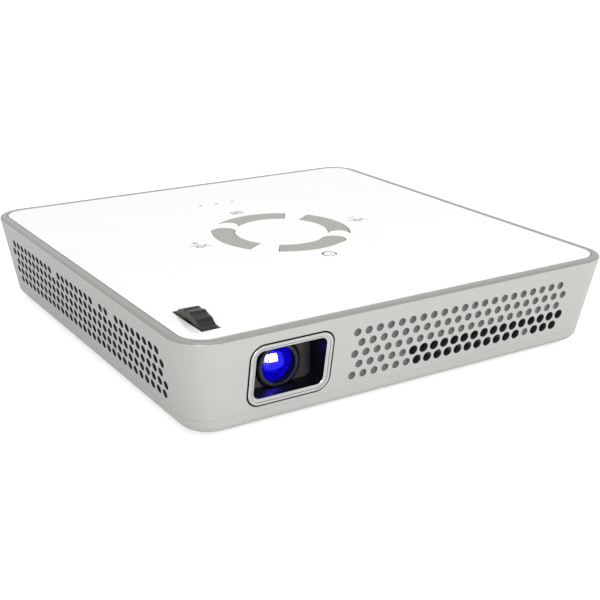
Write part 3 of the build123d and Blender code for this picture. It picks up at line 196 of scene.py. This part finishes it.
def make_materials():
    m = {}
    m["casing_silver"] = (
        Surface("casing_silver", (0.535, 0.545, 0.520), 0.42, 0.10, Specular_IOR_Level=0.35)
        .mottle(9000, 0.05, 1.0).sheen_drift(4000, 0.05).soft_edges(0.14).grain(9000, 0.003, 0.35)
    )
    # A darker metal for the rim's top faces than for the walls of the same frame: painted shade.
    m["rim_painted_shade"] = (
        Surface("rim_painted_shade", (0.33, 0.335, 0.315), 0.32, 0.70)
        .mottle(8000, 0.05, 1.0).sheen_drift(3500, 0.05).grain(9000, 0.002, 0.3)
    )
    # Grey and near-black for the walls of holes and cut-outs: painted shade in the holes.
    m["hole_painted_shade"] = plastic("hole_painted_shade", (0.20, 0.205, 0.20), 0.55, 0.06, 0.004, Specular_IOR_Level=0.2)
    m["deep_hole_painted_shade"] = plastic("deep_hole_painted_shade", (0.045, 0.045, 0.05), 0.6, 0.06, 0.004, Specular_IOR_Level=0.15)
    m["panel_white"] = (
        Surface("panel_white", (0.90, 0.905, 0.895), 0.09, Coat_Weight=0.6, Coat_Roughness=0.03)
        .mottle(60, 0.012).sheen_drift(300, 0.03).soft_edges(0.1).grain(220, 0.010, 0.12)
    )
    m["key_metal"] = metal("key_metal", (0.40, 0.405, 0.355), 0.34, (1, 1, 1), 0.08, 0.003, 0.12)
    m["bright_trim"] = metal("bright_trim", (0.57, 0.575, 0.555), 0.22, (1, 1, 1), 0.05, 0.002)
    m["black_plastic"] = plastic(
        "black_plastic", (0.002, 0.002, 0.003), 0.42, 0.1, 0.004, Specular_IOR_Level=0.07
    )
    m["wheel_black"] = plastic(
        "wheel_black", (0.010, 0.010, 0.010), 0.30, 0.15, 0.006, Specular_IOR_Level=0.30
    )
    # A lighter olive grey for the side faces of the one-piece black wheel: painted light.
    m["wheel_side_painted_light"] = plastic(
        "wheel_side_painted_light", (0.075, 0.076, 0.062), 0.45, 0.10, 0.006, Specular_IOR_Level=0.25
    )
    m["pale_rubber"] = plastic("pale_rubber", (0.36, 0.37, 0.35), 0.45, 0.05, 0.01)
    m["black_rubber"] = plastic("black_rubber", (0.015, 0.015, 0.015), 0.75, 0.12, 0.02)
    m["dark_steel"] = metal("dark_steel", (0.10, 0.10, 0.11), 0.38)
    m["brass_insert"] = metal("brass_insert", (0.66, 0.49, 0.22), 0.28)
    m["white_acetal"] = plastic("white_acetal", (0.78, 0.77, 0.73), 0.45)
    m["bright_steel"] = metal("bright_steel", (0.60, 0.60, 0.60), 0.22, (1, 12, 12))
    m["dark_plastic"] = plastic("dark_plastic", (0.03, 0.03, 0.033), 0.5)
    m["barrel_black"] = plastic(
        "barrel_black", (0.003, 0.003, 0.004), 0.38, 0.08, 0.003, Specular_IOR_Level=0.09
    )
    m["chip_ceramic"] = metal("chip_ceramic", (0.30, 0.28, 0.36), 0.15)
    m["green_board"] = plastic("green_board", (0.012, 0.10, 0.04), 0.35, 0.15, 0.01)
    # Copper far darker than bare copper, which keeps it dark where it shows through the grille: painted
    # shade.
    m["copper"] = metal("copper", (0.22, 0.12, 0.08), 0.5)
    m["fan_black"] = plastic("fan_black", (0.02, 0.02, 0.022), 0.48)
    m["clear_plastic"] = plastic(
        "clear_plastic", (0.55, 0.58, 0.56), 0.15, 0.03, 0.001, Transmission_Weight=0.6
    )
    m["cell_foil"] = metal("cell_foil", (0.50, 0.51, 0.53), 0.42, (1, 1, 1), 0.05, 0.02)
    m["foam_pad"] = plastic("foam_pad", (0.04, 0.04, 0.04), 0.9, 0.2, 0.06)
    m["chip_black"] = plastic("chip_black", (0.02, 0.02, 0.02), 0.5)
    m["shield_can"] = metal("shield_can", (0.55, 0.55, 0.53), 0.3)
    m["speaker_black"] = plastic("speaker_black", (0.025, 0.025, 0.025), 0.6)
    m["flat_cable"] = plastic("flat_cable", (0.45, 0.20, 0.03), 0.3)
    m["lead_red"] = plastic("lead_red", (0.38, 0.02, 0.015), 0.45)
    m["lamp_board"] = plastic("lamp_board", (0.70, 0.70, 0.68), 0.45)
    m["socket_steel"] = metal("socket_steel", (0.52, 0.52, 0.51), 0.26, (1, 1, 1), 0.06, 0.002, 0.08)
    m["sign_ink"] = plastic("sign_ink", (0.23, 0.23, 0.22), 0.4)
    m["blue_coated_glass"] = glowing_lens_glass("blue_coated_glass", (0.010, 0.008, 0.60), 0.06)
    m["clear_glass"] = glowing_lens_glass("clear_glass", (0.10, 0.03, 0.85), 0.05)
    m["tinted_glass"] = glowing_lens_glass("tinted_glass", (0.45, 0.12, 0.60), 0.05)
    return {name: surface.mat for name, surface in m.items()}


def glowing_lens_glass(name, tint, roughness):
    """Coated glass: it mirrors its surroundings in the coating's colour, under a clear polished face. It also
    has a painted blue glow and painted glints.
    """
    surface = Surface(name, tint, roughness, 0.95, Coat_Weight=0.22, Coat_Roughness=0.01, Coat_IOR=1.5)
    # A blue glow though the glass is no lamp: painted light.
    surface.shader.inputs["Emission Color"].default_value = (0.004, 0.0, 1.0, 1)
    surface.shader.inputs["Emission Strength"].default_value = 0.40
    return surface.mottle(260, 0.30, 2.0).sheen_drift(900, 0.03).painted_glints(1300, 0.30, (0.75, 0.85, 1.0))


# ------------------------------------------------------------------ mesh helpers
def mesh_of(name, bm):
    """Turns a bmesh in millimetres into a mesh in metres."""
    bmesh.ops.recalc_face_normals(bm, faces=bm.faces)
    mesh = bpy.data.meshes.new(name)
    bm.to_mesh(mesh)
    bm.free()
    mesh.transform(Matrix.Scale(MM, 4))
    return mesh


def add_object(name, data):
    obj = bpy.data.objects.new(name, data)
    bpy.context.scene.collection.objects.link(obj)
    return obj


def finish_mesh(name, bm, materials, sharp, body=CASING):
    return finish_object(name, mesh_of(name, bm), materials, sharp, body)


def finish_object(name, mesh, materials, sharp, body=CASING):
    """Makes a piece of the scene that is smooth except at edges sharper than an angle in degrees."""
    mesh.shade_smooth()
    mesh.set_sharp_from_angle(angle=radians(sharp))
    obj = add_object(name, mesh)
    for material in materials if isinstance(materials, (list, tuple)) else [materials]:
        mesh.materials.append(MATERIALS[material])
    weighted = obj.modifiers.new("normals", "WEIGHTED_NORMAL")
    weighted.keep_sharp = True
    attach(obj, body)
    return obj


def bridge(bm, rings, closed=False, material=0):
    """Quads between rings of vertices that have the same number of points."""
    pairs = list(zip(rings, rings[1:])) + ([(rings[-1], rings[0])] if closed else [])
    for a, b in pairs:
        n = len(a)
        for i in range(n):
            face = bm.faces.new((a[i], a[(i + 1) % n], b[(i + 1) % n], b[i]))
            face.material_index = material


def ring_of(bm, points):
    return [bm.verts.new(p) for p in points]


def cap(bm, ring):
    bm.faces.new(ring)


def rounded(half_x, half_y, r, steps=10):
    """Corner-rounded rectangle in the plane, anticlockwise."""
    points = []
    for cx, cy, start in ((1, 1, 0), (-1, 1, 90), (-1, -1, 180), (1, -1, 270)):
        for i in range(steps + 1):
            a = radians(start + 90 * i / steps)
            points.append((cx * (half_x - r) + r * cos(a), cy * (half_y - r) + r * sin(a)))
    return points


def casing_ring(z, inset=0.0):
    half = half_at(z) - inset
    return [(x, y, z) for x, y in rounded(half, half, max(corner_at(z) - inset, 0.3), RING_STEPS)]


def square_ring(half, r, z):
    return [(x, y, z) for x, y in rounded(half, half, r, RING_STEPS)]


def circle(cx, cy, r, n, start=0.0):
    return [(cx + r * cos(start + 2 * pi * i / n), cy + r * sin(start + 2 * pi * i / n)) for i in range(n)]


def prism(bm, outline, place, d0, d1):
    """A closed prism from a plane outline; place maps (u, v, depth) to a point."""
    low = ring_of(bm, [place(u, v, d0) for u, v in outline])
    high = ring_of(bm, [place(u, v, d1) for u, v in outline])
    bridge(bm, [low, high])
    cap(bm, low)
    cap(bm, high)


def flat_up(u, v, d):
    return (u, v, d)


def to_front(u, v, d):
    """Outline in X and Z, depth along Y."""
    return (u, d, v)


def to_left(u, v, d):
    """Outline in Y and Z, depth along X."""
    return (d, u, v)


def on_wall(u, v, d):
    """The front wall's face at the window: u right, v up the wall, d outwards."""
    y = -half_at(WINDOW[1]) - d * cos(DRAFT) - v * sin(DRAFT)
    return (WINDOW[0] + u, y, WINDOW[1] + v * cos(DRAFT) - d * sin(DRAFT))


def carve(obj, cutter_bm):
    """Cuts the closed shapes of a bmesh out of an object, which goes, and returns the mesh that is left."""
    cutter = add_object("cutter", mesh_of("cutter", cutter_bm))
    modifier = obj.modifiers.new("cut", "BOOLEAN")
    modifier.operation = "DIFFERENCE"
    modifier.solver = "EXACT"
    modifier.object = cutter
    graph = bpy.context.evaluated_depsgraph_get()
    result = bpy.data.meshes.new_from_object(obj.evaluated_get(graph))
    bpy.data.objects.remove(cutter)
    bpy.data.objects.remove(obj)
    return result


# ------------------------------------------------------------------ casing
def front_holes():
    """Places of the front grille's holes, and whether each goes through."""
    for row in range(FRONT_ROWS):
        z = Z_TOP - FRONT_TOP_ROW - row * FRONT_ROW_PITCH
        for column in range(FRONT_COLUMNS):
            x = FRONT_FIRST_X + (FRONT_PITCH / 2 if row % 2 else 0) + column * FRONT_PITCH
            yield x, z, row >= 3 and x > FRONT_OPEN_X and not (row == 4 and column == 17)


def left_holes():
    for row in range(LEFT_ROWS):
        z = Z_TOP - LEFT_TOP_ROW - row * LEFT_ROW_PITCH
        for column in range(LEFT_COLUMNS + row % 2):
            if row == 0 and column + 1 in LEFT_MISSING:
                continue
            yield LEFT_FIRST_Y + (LEFT_PITCH / 2 if row % 2 else 0) - column * LEFT_PITCH, z


def make_casing_shell():
    """The side frame: a leaning ring with a rounded rim, drilled grilles, lens window and socket cut-outs,
    with painted shade on its rim top, inside faces and hole walls.
    """
    bm = bmesh.new()
    r = 0.6
    centre = half_at(Z_TOP) - r * LEAN - r / cos(DRAFT)
    profile = [casing_ring(Z_SPLIT, 0.09), casing_ring(Z_SPLIT + 0.09)]
    for i in range(8):
        a = -DRAFT + (pi / 2 + DRAFT) * i / 7
        half, z = centre + r * cos(a), Z_TOP - r + r * sin(a)
        profile.append(casing_ring(z, half_at(z) - half))
    edge = BODY_W / 2 - RIM_W
    inner_r = 8.35 - RIM_W
    for grow, drop in ((0.14, 0.0), (0.04, 0.04)):
        profile.append(square_ring(edge + grow, inner_r + grow, Z_TOP - drop))
    profile += [square_ring(edge, inner_r, Z_TOP - 0.14), square_ring(edge, inner_r, Z_PANEL)]
    profile += [square_ring(edge - 2.6, inner_r, Z_PANEL), square_ring(edge - 2.6, inner_r, Z_LEDGE)]
    profile += [casing_ring(Z_LEDGE, WALL), casing_ring(Z_SPLIT, WALL)]
    bridge(bm, [ring_of(bm, points) for points in profile], closed=True)
    shell = add_object("casing_shell", mesh_of("casing_shell", bm))
    cut = bmesh.new()
    for x, z, is_open in front_holes():
        y = -half_at(z)
        if is_open:
            prism(cut, circle(x, z, 1.22, 22), to_front, y - 2, y + 2.6)
        else:
            bowl(cut, x, z, y)
    for y, z in left_holes():
        x = -half_at(z)
        prism(cut, circle(y, z, 1.04, 18), to_left, x - 2, x + 2.6)
    gap = 0.36
    prism(cut, rounded(WINDOW_HALF_W + gap, WINDOW_HALF_H + gap, WINDOW_R + gap), on_wall, -4.0, 2.0)
    for x, w, h in SOCKETS:
        z = BOARD_TOP + h / 2
        y = half_at(z)
        outline = [(x + u, z + v) for u, v in rounded(w / 2 + 0.25, h / 2 + 0.25, 0.8, 5)]
        prism(cut, outline, to_front, y - 4, y + 2)
    z = BOARD_TOP + 2.6
    prism(cut, circle(JACK_X, z, JACK_HOLE_R, 40), to_front, half_at(z) - 4, half_at(z) + 2)
    wheel_notch(cut)
    mesh = carve(shell, cut)
    slots = ["casing_silver", "rim_painted_shade", "black_plastic", "hole_painted_shade", "deep_hole_painted_shade"]
    obj = finish_object("casing_shell", mesh, slots, 30)
    # The rim's top faces get a darker metal than the walls, the inside faces get black, and the walls of
    # holes and cut-outs get grey or near-black by depth: all painted shade.
    for face in mesh.polygons:
        c, n = face.center / MM, face.normal
        from_wall = depth_inside(c)
        if c.z > Z_PANEL + 0.2 and from_wall > -1 and (n.z > 0.2 or from_wall > 1.9):
            face.material_index = RIM_PAINTED_SHADE_FACE
        # Black on the inside faces: painted shade for what shows through the holes.
        elif from_wall > WALL - 0.1 or (Z_LEDGE - 0.1 < c.z < Z_PANEL + 0.1 and from_wall > 1.9):
            face.material_index = INSIDE_PAINTED_SHADE_FACE
        # Walls of holes and cut-outs: painted shade, darker the deeper they go.
        elif from_wall > 0.06 and Z_SPLIT + 0.1 < c.z < Z_LEDGE:
            face.material_index = DEEP_HOLE_PAINTED_SHADE_FACE if from_wall > 0.83 else HOLE_PAINTED_SHADE_FACE
    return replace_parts(obj, "side_frame")


def bowl(bm, x, z, y):
    """Cutter of a blind drilled hole with a dished end."""
    rings = [(0.98, -2.0), (0.98, 0.48), (0.84, 0.68), (0.50, 0.78)]
    rings = [ring_of(bm, [(u, y + d, v) for u, v in circle(x, z, r, 20)]) for r, d in rings]
    bridge(bm, rings)
    cap(bm, rings[0])
    cap(bm, rings[-1])


def wheel_notch(bm):
    outline = circle(WHEEL[1], WHEEL[2], 10.05, 64)
    prism(bm, outline, to_left, WHEEL[0] - WHEEL_W / 2 - 0.35, WHEEL[0] + WHEEL_W / 2 + 0.35)


def make_base_tray():
    """The bottom cover: a shallow tray with a full round along its lower edge."""
    bm = bmesh.new()
    r = 2.5
    turn = pi / 2 - DRAFT
    centre = half_at(Z_BASE + r) - r / cos(DRAFT)
    profile = [square_ring(half_at(Z_FLOOR) - 2.7, 4.3, Z_FLOOR), casing_ring(Z_SPLIT - 0.02, 2.0)]
    profile += [casing_ring(Z_SPLIT, 0.12), casing_ring(Z_SPLIT - 0.12)]
    for i in range(9):
        a = -DRAFT - turn * i / 8
        half, z = centre + r * cos(a), Z_BASE + r + r * sin(a)
        profile.append(casing_ring(z, half_at(z) - half))
    rings = [ring_of(bm, points) for points in profile]
    bridge(bm, rings)
    cap(bm, rings[0])
    cap(bm, rings[-1])
    tray = add_object("base_tray", mesh_of("base_tray", bm))
    cut = bmesh.new()
    for x in (-FOOT_AT, FOOT_AT):
        for y in (-FOOT_AT, FOOT_AT):
            prism(cut, circle(x, y, FOOT_R, 48), flat_up, 0, 1.7)
    for x in (-SCREW_X, SCREW_X):
        for y in (-SCREW_Y, SCREW_Y):
            prism(cut, circle(x, y, SCREW_R, 32), flat_up, 0, 2.55)
    prism(cut, circle(0, 0, INSERT_SEAT_R, 64), flat_up, 0, 2.8)
    mesh = carve(tray, cut)
    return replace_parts(finish_object("base_tray", mesh, "casing_silver", 30), "bottom_cover")


# ------------------------------------------------------------------ focus wheel
def make_wheel_tread():
    """The thumb wheel: rounded ribs across its tread, a dished side and a hub."""
    bm = bmesh.new()
    n_rib, per = 20, 14
    n = n_rib * per
    x0, x1 = WHEEL[0] - WHEEL_W / 2, WHEEL[0] + WHEEL_W / 2

    def rib(i):
        t = (i % per) / per
        t = min(t, 1 - t)
        w = 0.24
        return max(0.0, 1 - (t / w) ** 2.4) if t < w else 0.0

    def ring(x, r, share):
        points = []
        for i in range(n):
            a = pi / 2 - radians(12.4) + 2 * pi * i / n
            radius = r + 0.34 * share * (rib(i) - 1) if share else r
            points.append((x, WHEEL[1] + radius * cos(a), WHEEL[2] + radius * sin(a)))
        return ring_of(bm, points)

    left = [(0.0, 0.80), (0.0, 3.0), (0.6, 3.15), (0.6, 7.2), (0.05, 7.45), (0.0, 7.6), (0.0, 8.7)]
    rings = [ring(x0 + d, r, 0) for d, r in left]
    tread = [(0.02, 9.35, 0.4), (0.12, 9.55, 0.8), (0.35, 9.66, 1.0), (0.6, 9.68, 1.0)]
    rings += [ring(x0 + d, r, share) for d, r, share in tread]
    rings += [ring(x1 - d, r, share) for d, r, share in tread[::-1]]
    rings += [ring(x1 - d, r, 0) for d, r in left[::-1]]
    bridge(bm, rings, closed=True)
    obj = finish_mesh("focus_wheel_tread", bm, ["wheel_black", "wheel_side_painted_light"], 45, "focus_wheel")
    # The side faces take the lighter grey: painted light.
    for face in obj.data.polygons:
        if abs(face.center.x / MM - WHEEL[0]) > WHEEL_W / 2 - 0.03:
            face.material_index = 1
    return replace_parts(obj, "focus_wheel")


# ------------------------------------------------------------------ lens window
def make_window_trim():
    """The bright ring in the front wall: rounded outer edge, flat band, a step and an inner lip."""
    bm = bmesh.new()
    section = [(0.0, -2.77), (0.0, -0.05), (0.03, 0.08), (0.11, 0.18), (0.24, 0.23), (0.60, 0.23),
               (0.70, 0.18), (0.74, 0.02), (0.86, 0.02), (0.90, 0.13), (1.20, 0.10), (1.40, 0.0),
               (1.52, -0.16), (1.65, -0.30), (1.65, -0.75), (0.95, -0.78), (0.95, -2.77)]
    rings = []
    for inset, d in section:
        outline = rounded(WINDOW_HALF_W - inset, WINDOW_HALF_H - inset, WINDOW_R - inset * 0.95, 12)
        rings.append(ring_of(bm, [on_wall(u, v, d) for u, v in outline]))
    lip = 12  # the last ring of the bright side; the rest is black
    bridge(bm, rings[:lip + 1])
    bridge(bm, rings[lip:] + rings[:1], material=1)
    obj = finish_mesh("window_trim", bm, ["bright_trim", "black_plastic"], 40)
    # A black band set into the gap round the trim: painted shade in the gap.
    gap_shade = bmesh.new()
    rings = []
    for grow, d in ((0.02, -1.7), (0.02, -0.30), (0.36, -0.30), (0.36, -1.7)):
        outline = rounded(WINDOW_HALF_W + grow, WINDOW_HALF_H + grow, WINDOW_R + grow, 12)
        rings.append(ring_of(gap_shade, [on_wall(u, v, d) for u, v in outline]))
    bridge(gap_shade, rings, closed=True)
    finish_mesh("window_gap_painted_shade", gap_shade, "black_plastic", 40)
    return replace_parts(obj, "lens_bezel")


def lathe(bm, profile, cx, cz):
    """Revolves (radius, y) points about a line along Y."""
    rings = [ring_of(bm, [(u, y, v) for u, v in circle(cx, cz, r, 72)]) for r, y in profile]
    bridge(bm, rings)
    return rings


def make_front_glass():
    """Strongly curved front element with a polished edge."""
    bm = bmesh.new()
    edge_r, crown, steps = 4.9, 2.6, 18
    y0, ball = NOSE_Y + 0.15, (edge_r**2 + crown**2) / (2 * crown)
    profile = []
    for i in range(1, steps + 1):
        r = edge_r * i / steps
        profile.append((r, y0 + ball - sqrt(ball**2 - r**2)))
    profile += [(edge_r, y0 + 3.4), (0.3, y0 + 3.4)]
    rings = lathe(bm, profile, *LENS)
    cap(bm, rings[0])
    cap(bm, rings[-1])
    obj = finish_mesh("front_glass", bm, "blue_coated_glass", 40, "focus_carriage")
    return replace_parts(obj, "front_lens")


# ------------------------------------------------------------------ signs on the top
def strip(bm, points, width, z0, z1):
    """Straight strokes along a line of points."""
    for (ax, ay), (bx, by) in zip(points, points[1:]):
        d = Vector((bx - ax, by - ay)).normalized() * width / 2
        n = Vector((-d.y, d.x))
        corners = [(ax - d.x + n.x, ay - d.y + n.y), (ax - d.x - n.x, ay - d.y - n.y),
                   (bx + d.x - n.x, by + d.y - n.y), (bx + d.x + n.x, by + d.y + n.y)]
        prism(bm, corners, flat_up, z0, z1)


def make_sign(name, strokes, place, turn, width, material):
    """Strokes printed on the panel, moved to a place and turned in its plane."""
    bm = bmesh.new()
    c, s = cos(radians(turn)), sin(radians(turn))
    for stroke in strokes:
        moved = [(place[0] + x * c - y * s, place[1] + x * s + y * c) for x, y in stroke]
        strip(bm, moved, width, Z_TOP, Z_TOP + 0.012)
    return finish_mesh(name, bm, material, 30)


def part_circle(r, a0, a1, n):
    angles = [radians(a0 + (a1 - a0) * i / n) for i in range(n + 1)]
    return [(r * cos(a), r * sin(a)) for a in angles]


VOL_LETTERS = [
    [(-2.6, 1.0), (-1.8, -1.0), (-1.0, 1.0)],
    [(0.7 * cos(radians(a)), 1.0 * sin(radians(a))) for a in range(0, 361, 24)],
    [(1.2, 1.0), (1.2, -1.0), (2.4, -1.0)],
]


def make_signs():
    plus = [[(-0.8, 0), (0.8, 0)], [(0, -0.8), (0, 0.8)]]
    minus = [[(-0.8, 0), (0.8, 0)]]
    make_sign("sign_vol_up", VOL_LETTERS, (-25.6, 0.0), 180, 0.27, "sign_ink")
    make_sign("sign_plus", plus, (-25.6, 3.0), 180, 0.34, "sign_ink")
    make_sign("sign_vol_down", VOL_LETTERS, (24.6, 0.0), 180, 0.27, "sign_ink")
    make_sign("sign_minus", minus, (24.6, 3.0), 180, 0.34, "sign_ink")
    power = [part_circle(1.75, 125, 415, 26), [(0, 0.5), (0, 2.2)]]
    make_sign("sign_power", power, (-0.3, -22.7), 180, 0.34, "sign_ink")
    screen = [[(-1.5, -1.0), (1.5, -1.0), (1.5, 1.0), (-1.5, 1.0), (-1.5, -1.0)], [(-0.7, -0.5), (0.1, 0.5)],
              [(0.1, -0.5), (0.9, 0.5)]]
    make_sign("sign_source", screen, (-1.0, 24.3), 180, 0.36, "sign_ink")


# ------------------------------------------------------------------ world, light and camera
def add_light(name, place, target, size, power, size_y=None, **visible):
    """A square or upright area lamp that the camera doesn't see; sizes in millimetres."""
    light = bpy.data.lights.new(name, "AREA")
    light.energy = power
    light.shape = "RECTANGLE" if size_y else "SQUARE"
    light.size = size * MM
    if size_y:
        light.size_y = size_y * MM
    obj = add_object(name, light)
    obj.location = Vector(place) * MM
    obj.rotation_euler = (Vector(target) - Vector(place)).to_track_quat("-Z", "Y").to_euler()
    obj.visible_camera = False
    for key, value in visible.items():
        setattr(obj, "visible_" + key, value)
    return obj


def shine_only_on(lights, objects):
    """Limits lamps to a few objects, so that a highlight on the lens doesn't brighten the casing."""
    lit = bpy.data.collections.new("window_light")
    for obj in objects:
        lit.objects.link(obj)
    for light in lights:
        light.light_linking.receiver_collection = lit


def straight_or_mirrored(tree, path):
    """Two masks: 1 where a thing is seen at all, and 1 only where a mirror or glass shows it."""
    first = tree.nodes.new("ShaderNodeMath")
    second = tree.nodes.new("ShaderNodeMath")
    first.operation = second.operation = "MAXIMUM"
    tree.links.new(path.outputs["Is Transmission Ray"], first.inputs[0])
    tree.links.new(path.outputs["Is Glossy Ray"], first.inputs[1])
    tree.links.new(first.outputs[0], second.inputs[0])
    tree.links.new(path.outputs["Is Camera Ray"], second.inputs[1])
    return second.outputs[0], first.outputs[0]


def make_world():
    """White where it is seen or mirrored; its light is softer at the sides than overhead."""
    world = bpy.data.worlds.new("studio")
    bpy.context.scene.world = world
    world.use_nodes = True
    tree = world.node_tree
    tree.nodes.clear()
    new = tree.nodes.new
    out = new("ShaderNodeOutputWorld")
    mix = new("ShaderNodeMixShader")
    seen = new("ShaderNodeBackground")
    seen.inputs[0].default_value = (1, 1, 1, 1)
    seen.inputs[1].default_value = 1.0
    studio = new("ShaderNodeBackground")
    coords = new("ShaderNodeTexCoord")
    split = new("ShaderNodeSeparateXYZ")
    ramp = new("ShaderNodeValToRGB")
    shift = new("ShaderNodeMapRange")
    shift.inputs["From Min"].default_value = -1.0
    shift.inputs["From Max"].default_value = 1.0
    ramp.color_ramp.elements[0].position = 0.0
    ramp.color_ramp.elements[0].color = (0.60, 0.60, 0.60, 1)
    ramp.color_ramp.elements[1].position = 1.0
    ramp.color_ramp.elements[1].color = (1.05, 1.05, 1.05, 1)
    for position, value in ((0.48, 0.60), (0.56, 0.60), (0.75, 0.85)):
        ramp.color_ramp.elements.new(position).color = (value, value, value, 1)
    path = new("ShaderNodeLightPath")
    links = tree.links
    links.new(coords.outputs["Generated"], split.inputs[0])
    links.new(split.outputs[2], shift.inputs[0])
    links.new(shift.outputs[0], ramp.inputs[0])
    side = new("ShaderNodeMapRange")
    side.inputs["From Min"].default_value = -0.9
    side.inputs["From Max"].default_value = 0.1
    side.inputs["To Min"].default_value = 0.66
    side.inputs["To Max"].default_value = 1.0
    links.new(split.outputs[0], side.inputs[0])
    links.new(side.outputs[0], studio.inputs[1])
    links.new(ramp.outputs[0], studio.inputs[0])
    links.new(straight_or_mirrored(tree, path)[0], mix.inputs[0])
    links.new(studio.outputs[0], mix.inputs[1])
    links.new(seen.outputs[0], mix.inputs[2])
    links.new(mix.outputs[0], out.inputs[0])


def make_floor():
    """A white table that glows where it is seen, so that only the shadow close to the object shows."""
    bm = bmesh.new()
    corners = [(-900, -900, -0.02), (900, -900, -0.02), (900, 900, -0.02), (-900, 900, -0.02)]
    bm.faces.new([bm.verts.new(p) for p in corners])
    mesh = bpy.data.meshes.new("table_top")
    bm.to_mesh(mesh)
    bm.free()
    mesh.transform(Matrix.Scale(MM, 4))
    obj = add_object("table_top", mesh)
    mat = bpy.data.materials.new("table_white")
    mat.use_nodes = True
    tree = mat.node_tree
    tree.nodes.clear()
    new = tree.nodes.new
    out, both, path = new("ShaderNodeOutputMaterial"), new("ShaderNodeAddShader"), new("ShaderNodeLightPath")
    glow, matt, lift = new("ShaderNodeEmission"), new("ShaderNodeBsdfDiffuse"), new("ShaderNodeMath")
    seen_glow, mirror_loss = 0.62, 0.34  # a mirror shows the table less bright than the camera does
    matt.inputs[0].default_value = (0.80, 0.80, 0.80, 1)
    lift.operation = "MULTIPLY_ADD"
    lift.inputs[1].default_value = -mirror_loss
    seen, mirrored = straight_or_mirrored(tree, path)
    less = new("ShaderNodeMath")
    less.operation = "MULTIPLY"
    less.inputs[1].default_value = seen_glow
    tree.links.new(seen, less.inputs[0])
    tree.links.new(mirrored, lift.inputs[0])
    tree.links.new(less.outputs[0], lift.inputs[2])
    tree.links.new(lift.outputs[0], glow.inputs["Strength"])
    tree.links.new(matt.outputs[0], both.inputs[0])
    tree.links.new(glow.outputs[0], both.inputs[1])
    tree.links.new(both.outputs[0], out.inputs[0])
    mesh.materials.append(mat)


def make_camera():
    """A camera fitted to the object's edges in a square picture; its numbers are pixels, degrees and mm."""
    picture, focal, centre_x, centre_y = 600, 1101.3, 283.5, 277.1
    azimuth, elevation, tilt, distance, aim_z = -31.88, 18.51, 0.29, 304.9, 11.1
    sensor = 36.0
    data = bpy.data.cameras.new("camera")
    data.sensor_width = sensor
    data.lens = focal / picture * sensor
    data.shift_x = 0.5 - centre_x / picture
    data.shift_y = centre_y / picture - 0.5
    data.clip_start = 0.01
    camera = add_object("camera", data)
    a, e, roll = radians(azimuth), radians(elevation), radians(tilt)
    back = Vector((sin(a) * cos(e), -cos(a) * cos(e), sin(e)))
    right = (-back).cross(Vector((0, 0, 1))).normalized()
    up = right.cross(-back)
    right, up = right * cos(roll) + up * sin(roll), up * cos(roll) - right * sin(roll)
    place = back * distance + Vector((0, 0, aim_z))
    basis = Matrix((right, up, back)).transposed().to_4x4()
    camera.matrix_world = Matrix.Translation(place * MM) @ basis
    bpy.context.scene.camera = camera


# ------------------------------------------------------------------ the scene
make_camera()
bpy.context.scene.view_settings.view_transform = "Standard"
make_world()
make_floor()
MATERIALS = make_materials()
for entry in frame["record"]["subparts"]:
    mesh = frame["nodes"][entry["node"]].data
    mesh.materials.clear()
    mesh.materials.append(MATERIALS[entry["material_slot"]])

make_casing_shell()
make_base_tray()
make_wheel_tread()
make_window_trim()
front_glass = make_front_glass()
make_signs()

add_light("key_light", (160, -520, 360), (0, 0, 10), 300, 1.10, glossy=False)
add_light("overhead", (0, 0, 640), (0, 0, 0), 480, 0.45)
add_light("near_corner_light", (-230, -300, 110), (-50, -50, 15), 120, 0.20)
windows = [
    add_light("window_left", (-84, -150, 33), (-84, 0, 33), 30, 0.50, size_y=64, diffuse=False),
    add_light("window_right", (-25, -150, 33), (-25, 0, 33), 76, 1.30, size_y=64, diffuse=False),
]
shine_only_on(windows, [front_glass, frame["nodes"]["lens_hood"], frame["nodes"]["lens_retainer"]])
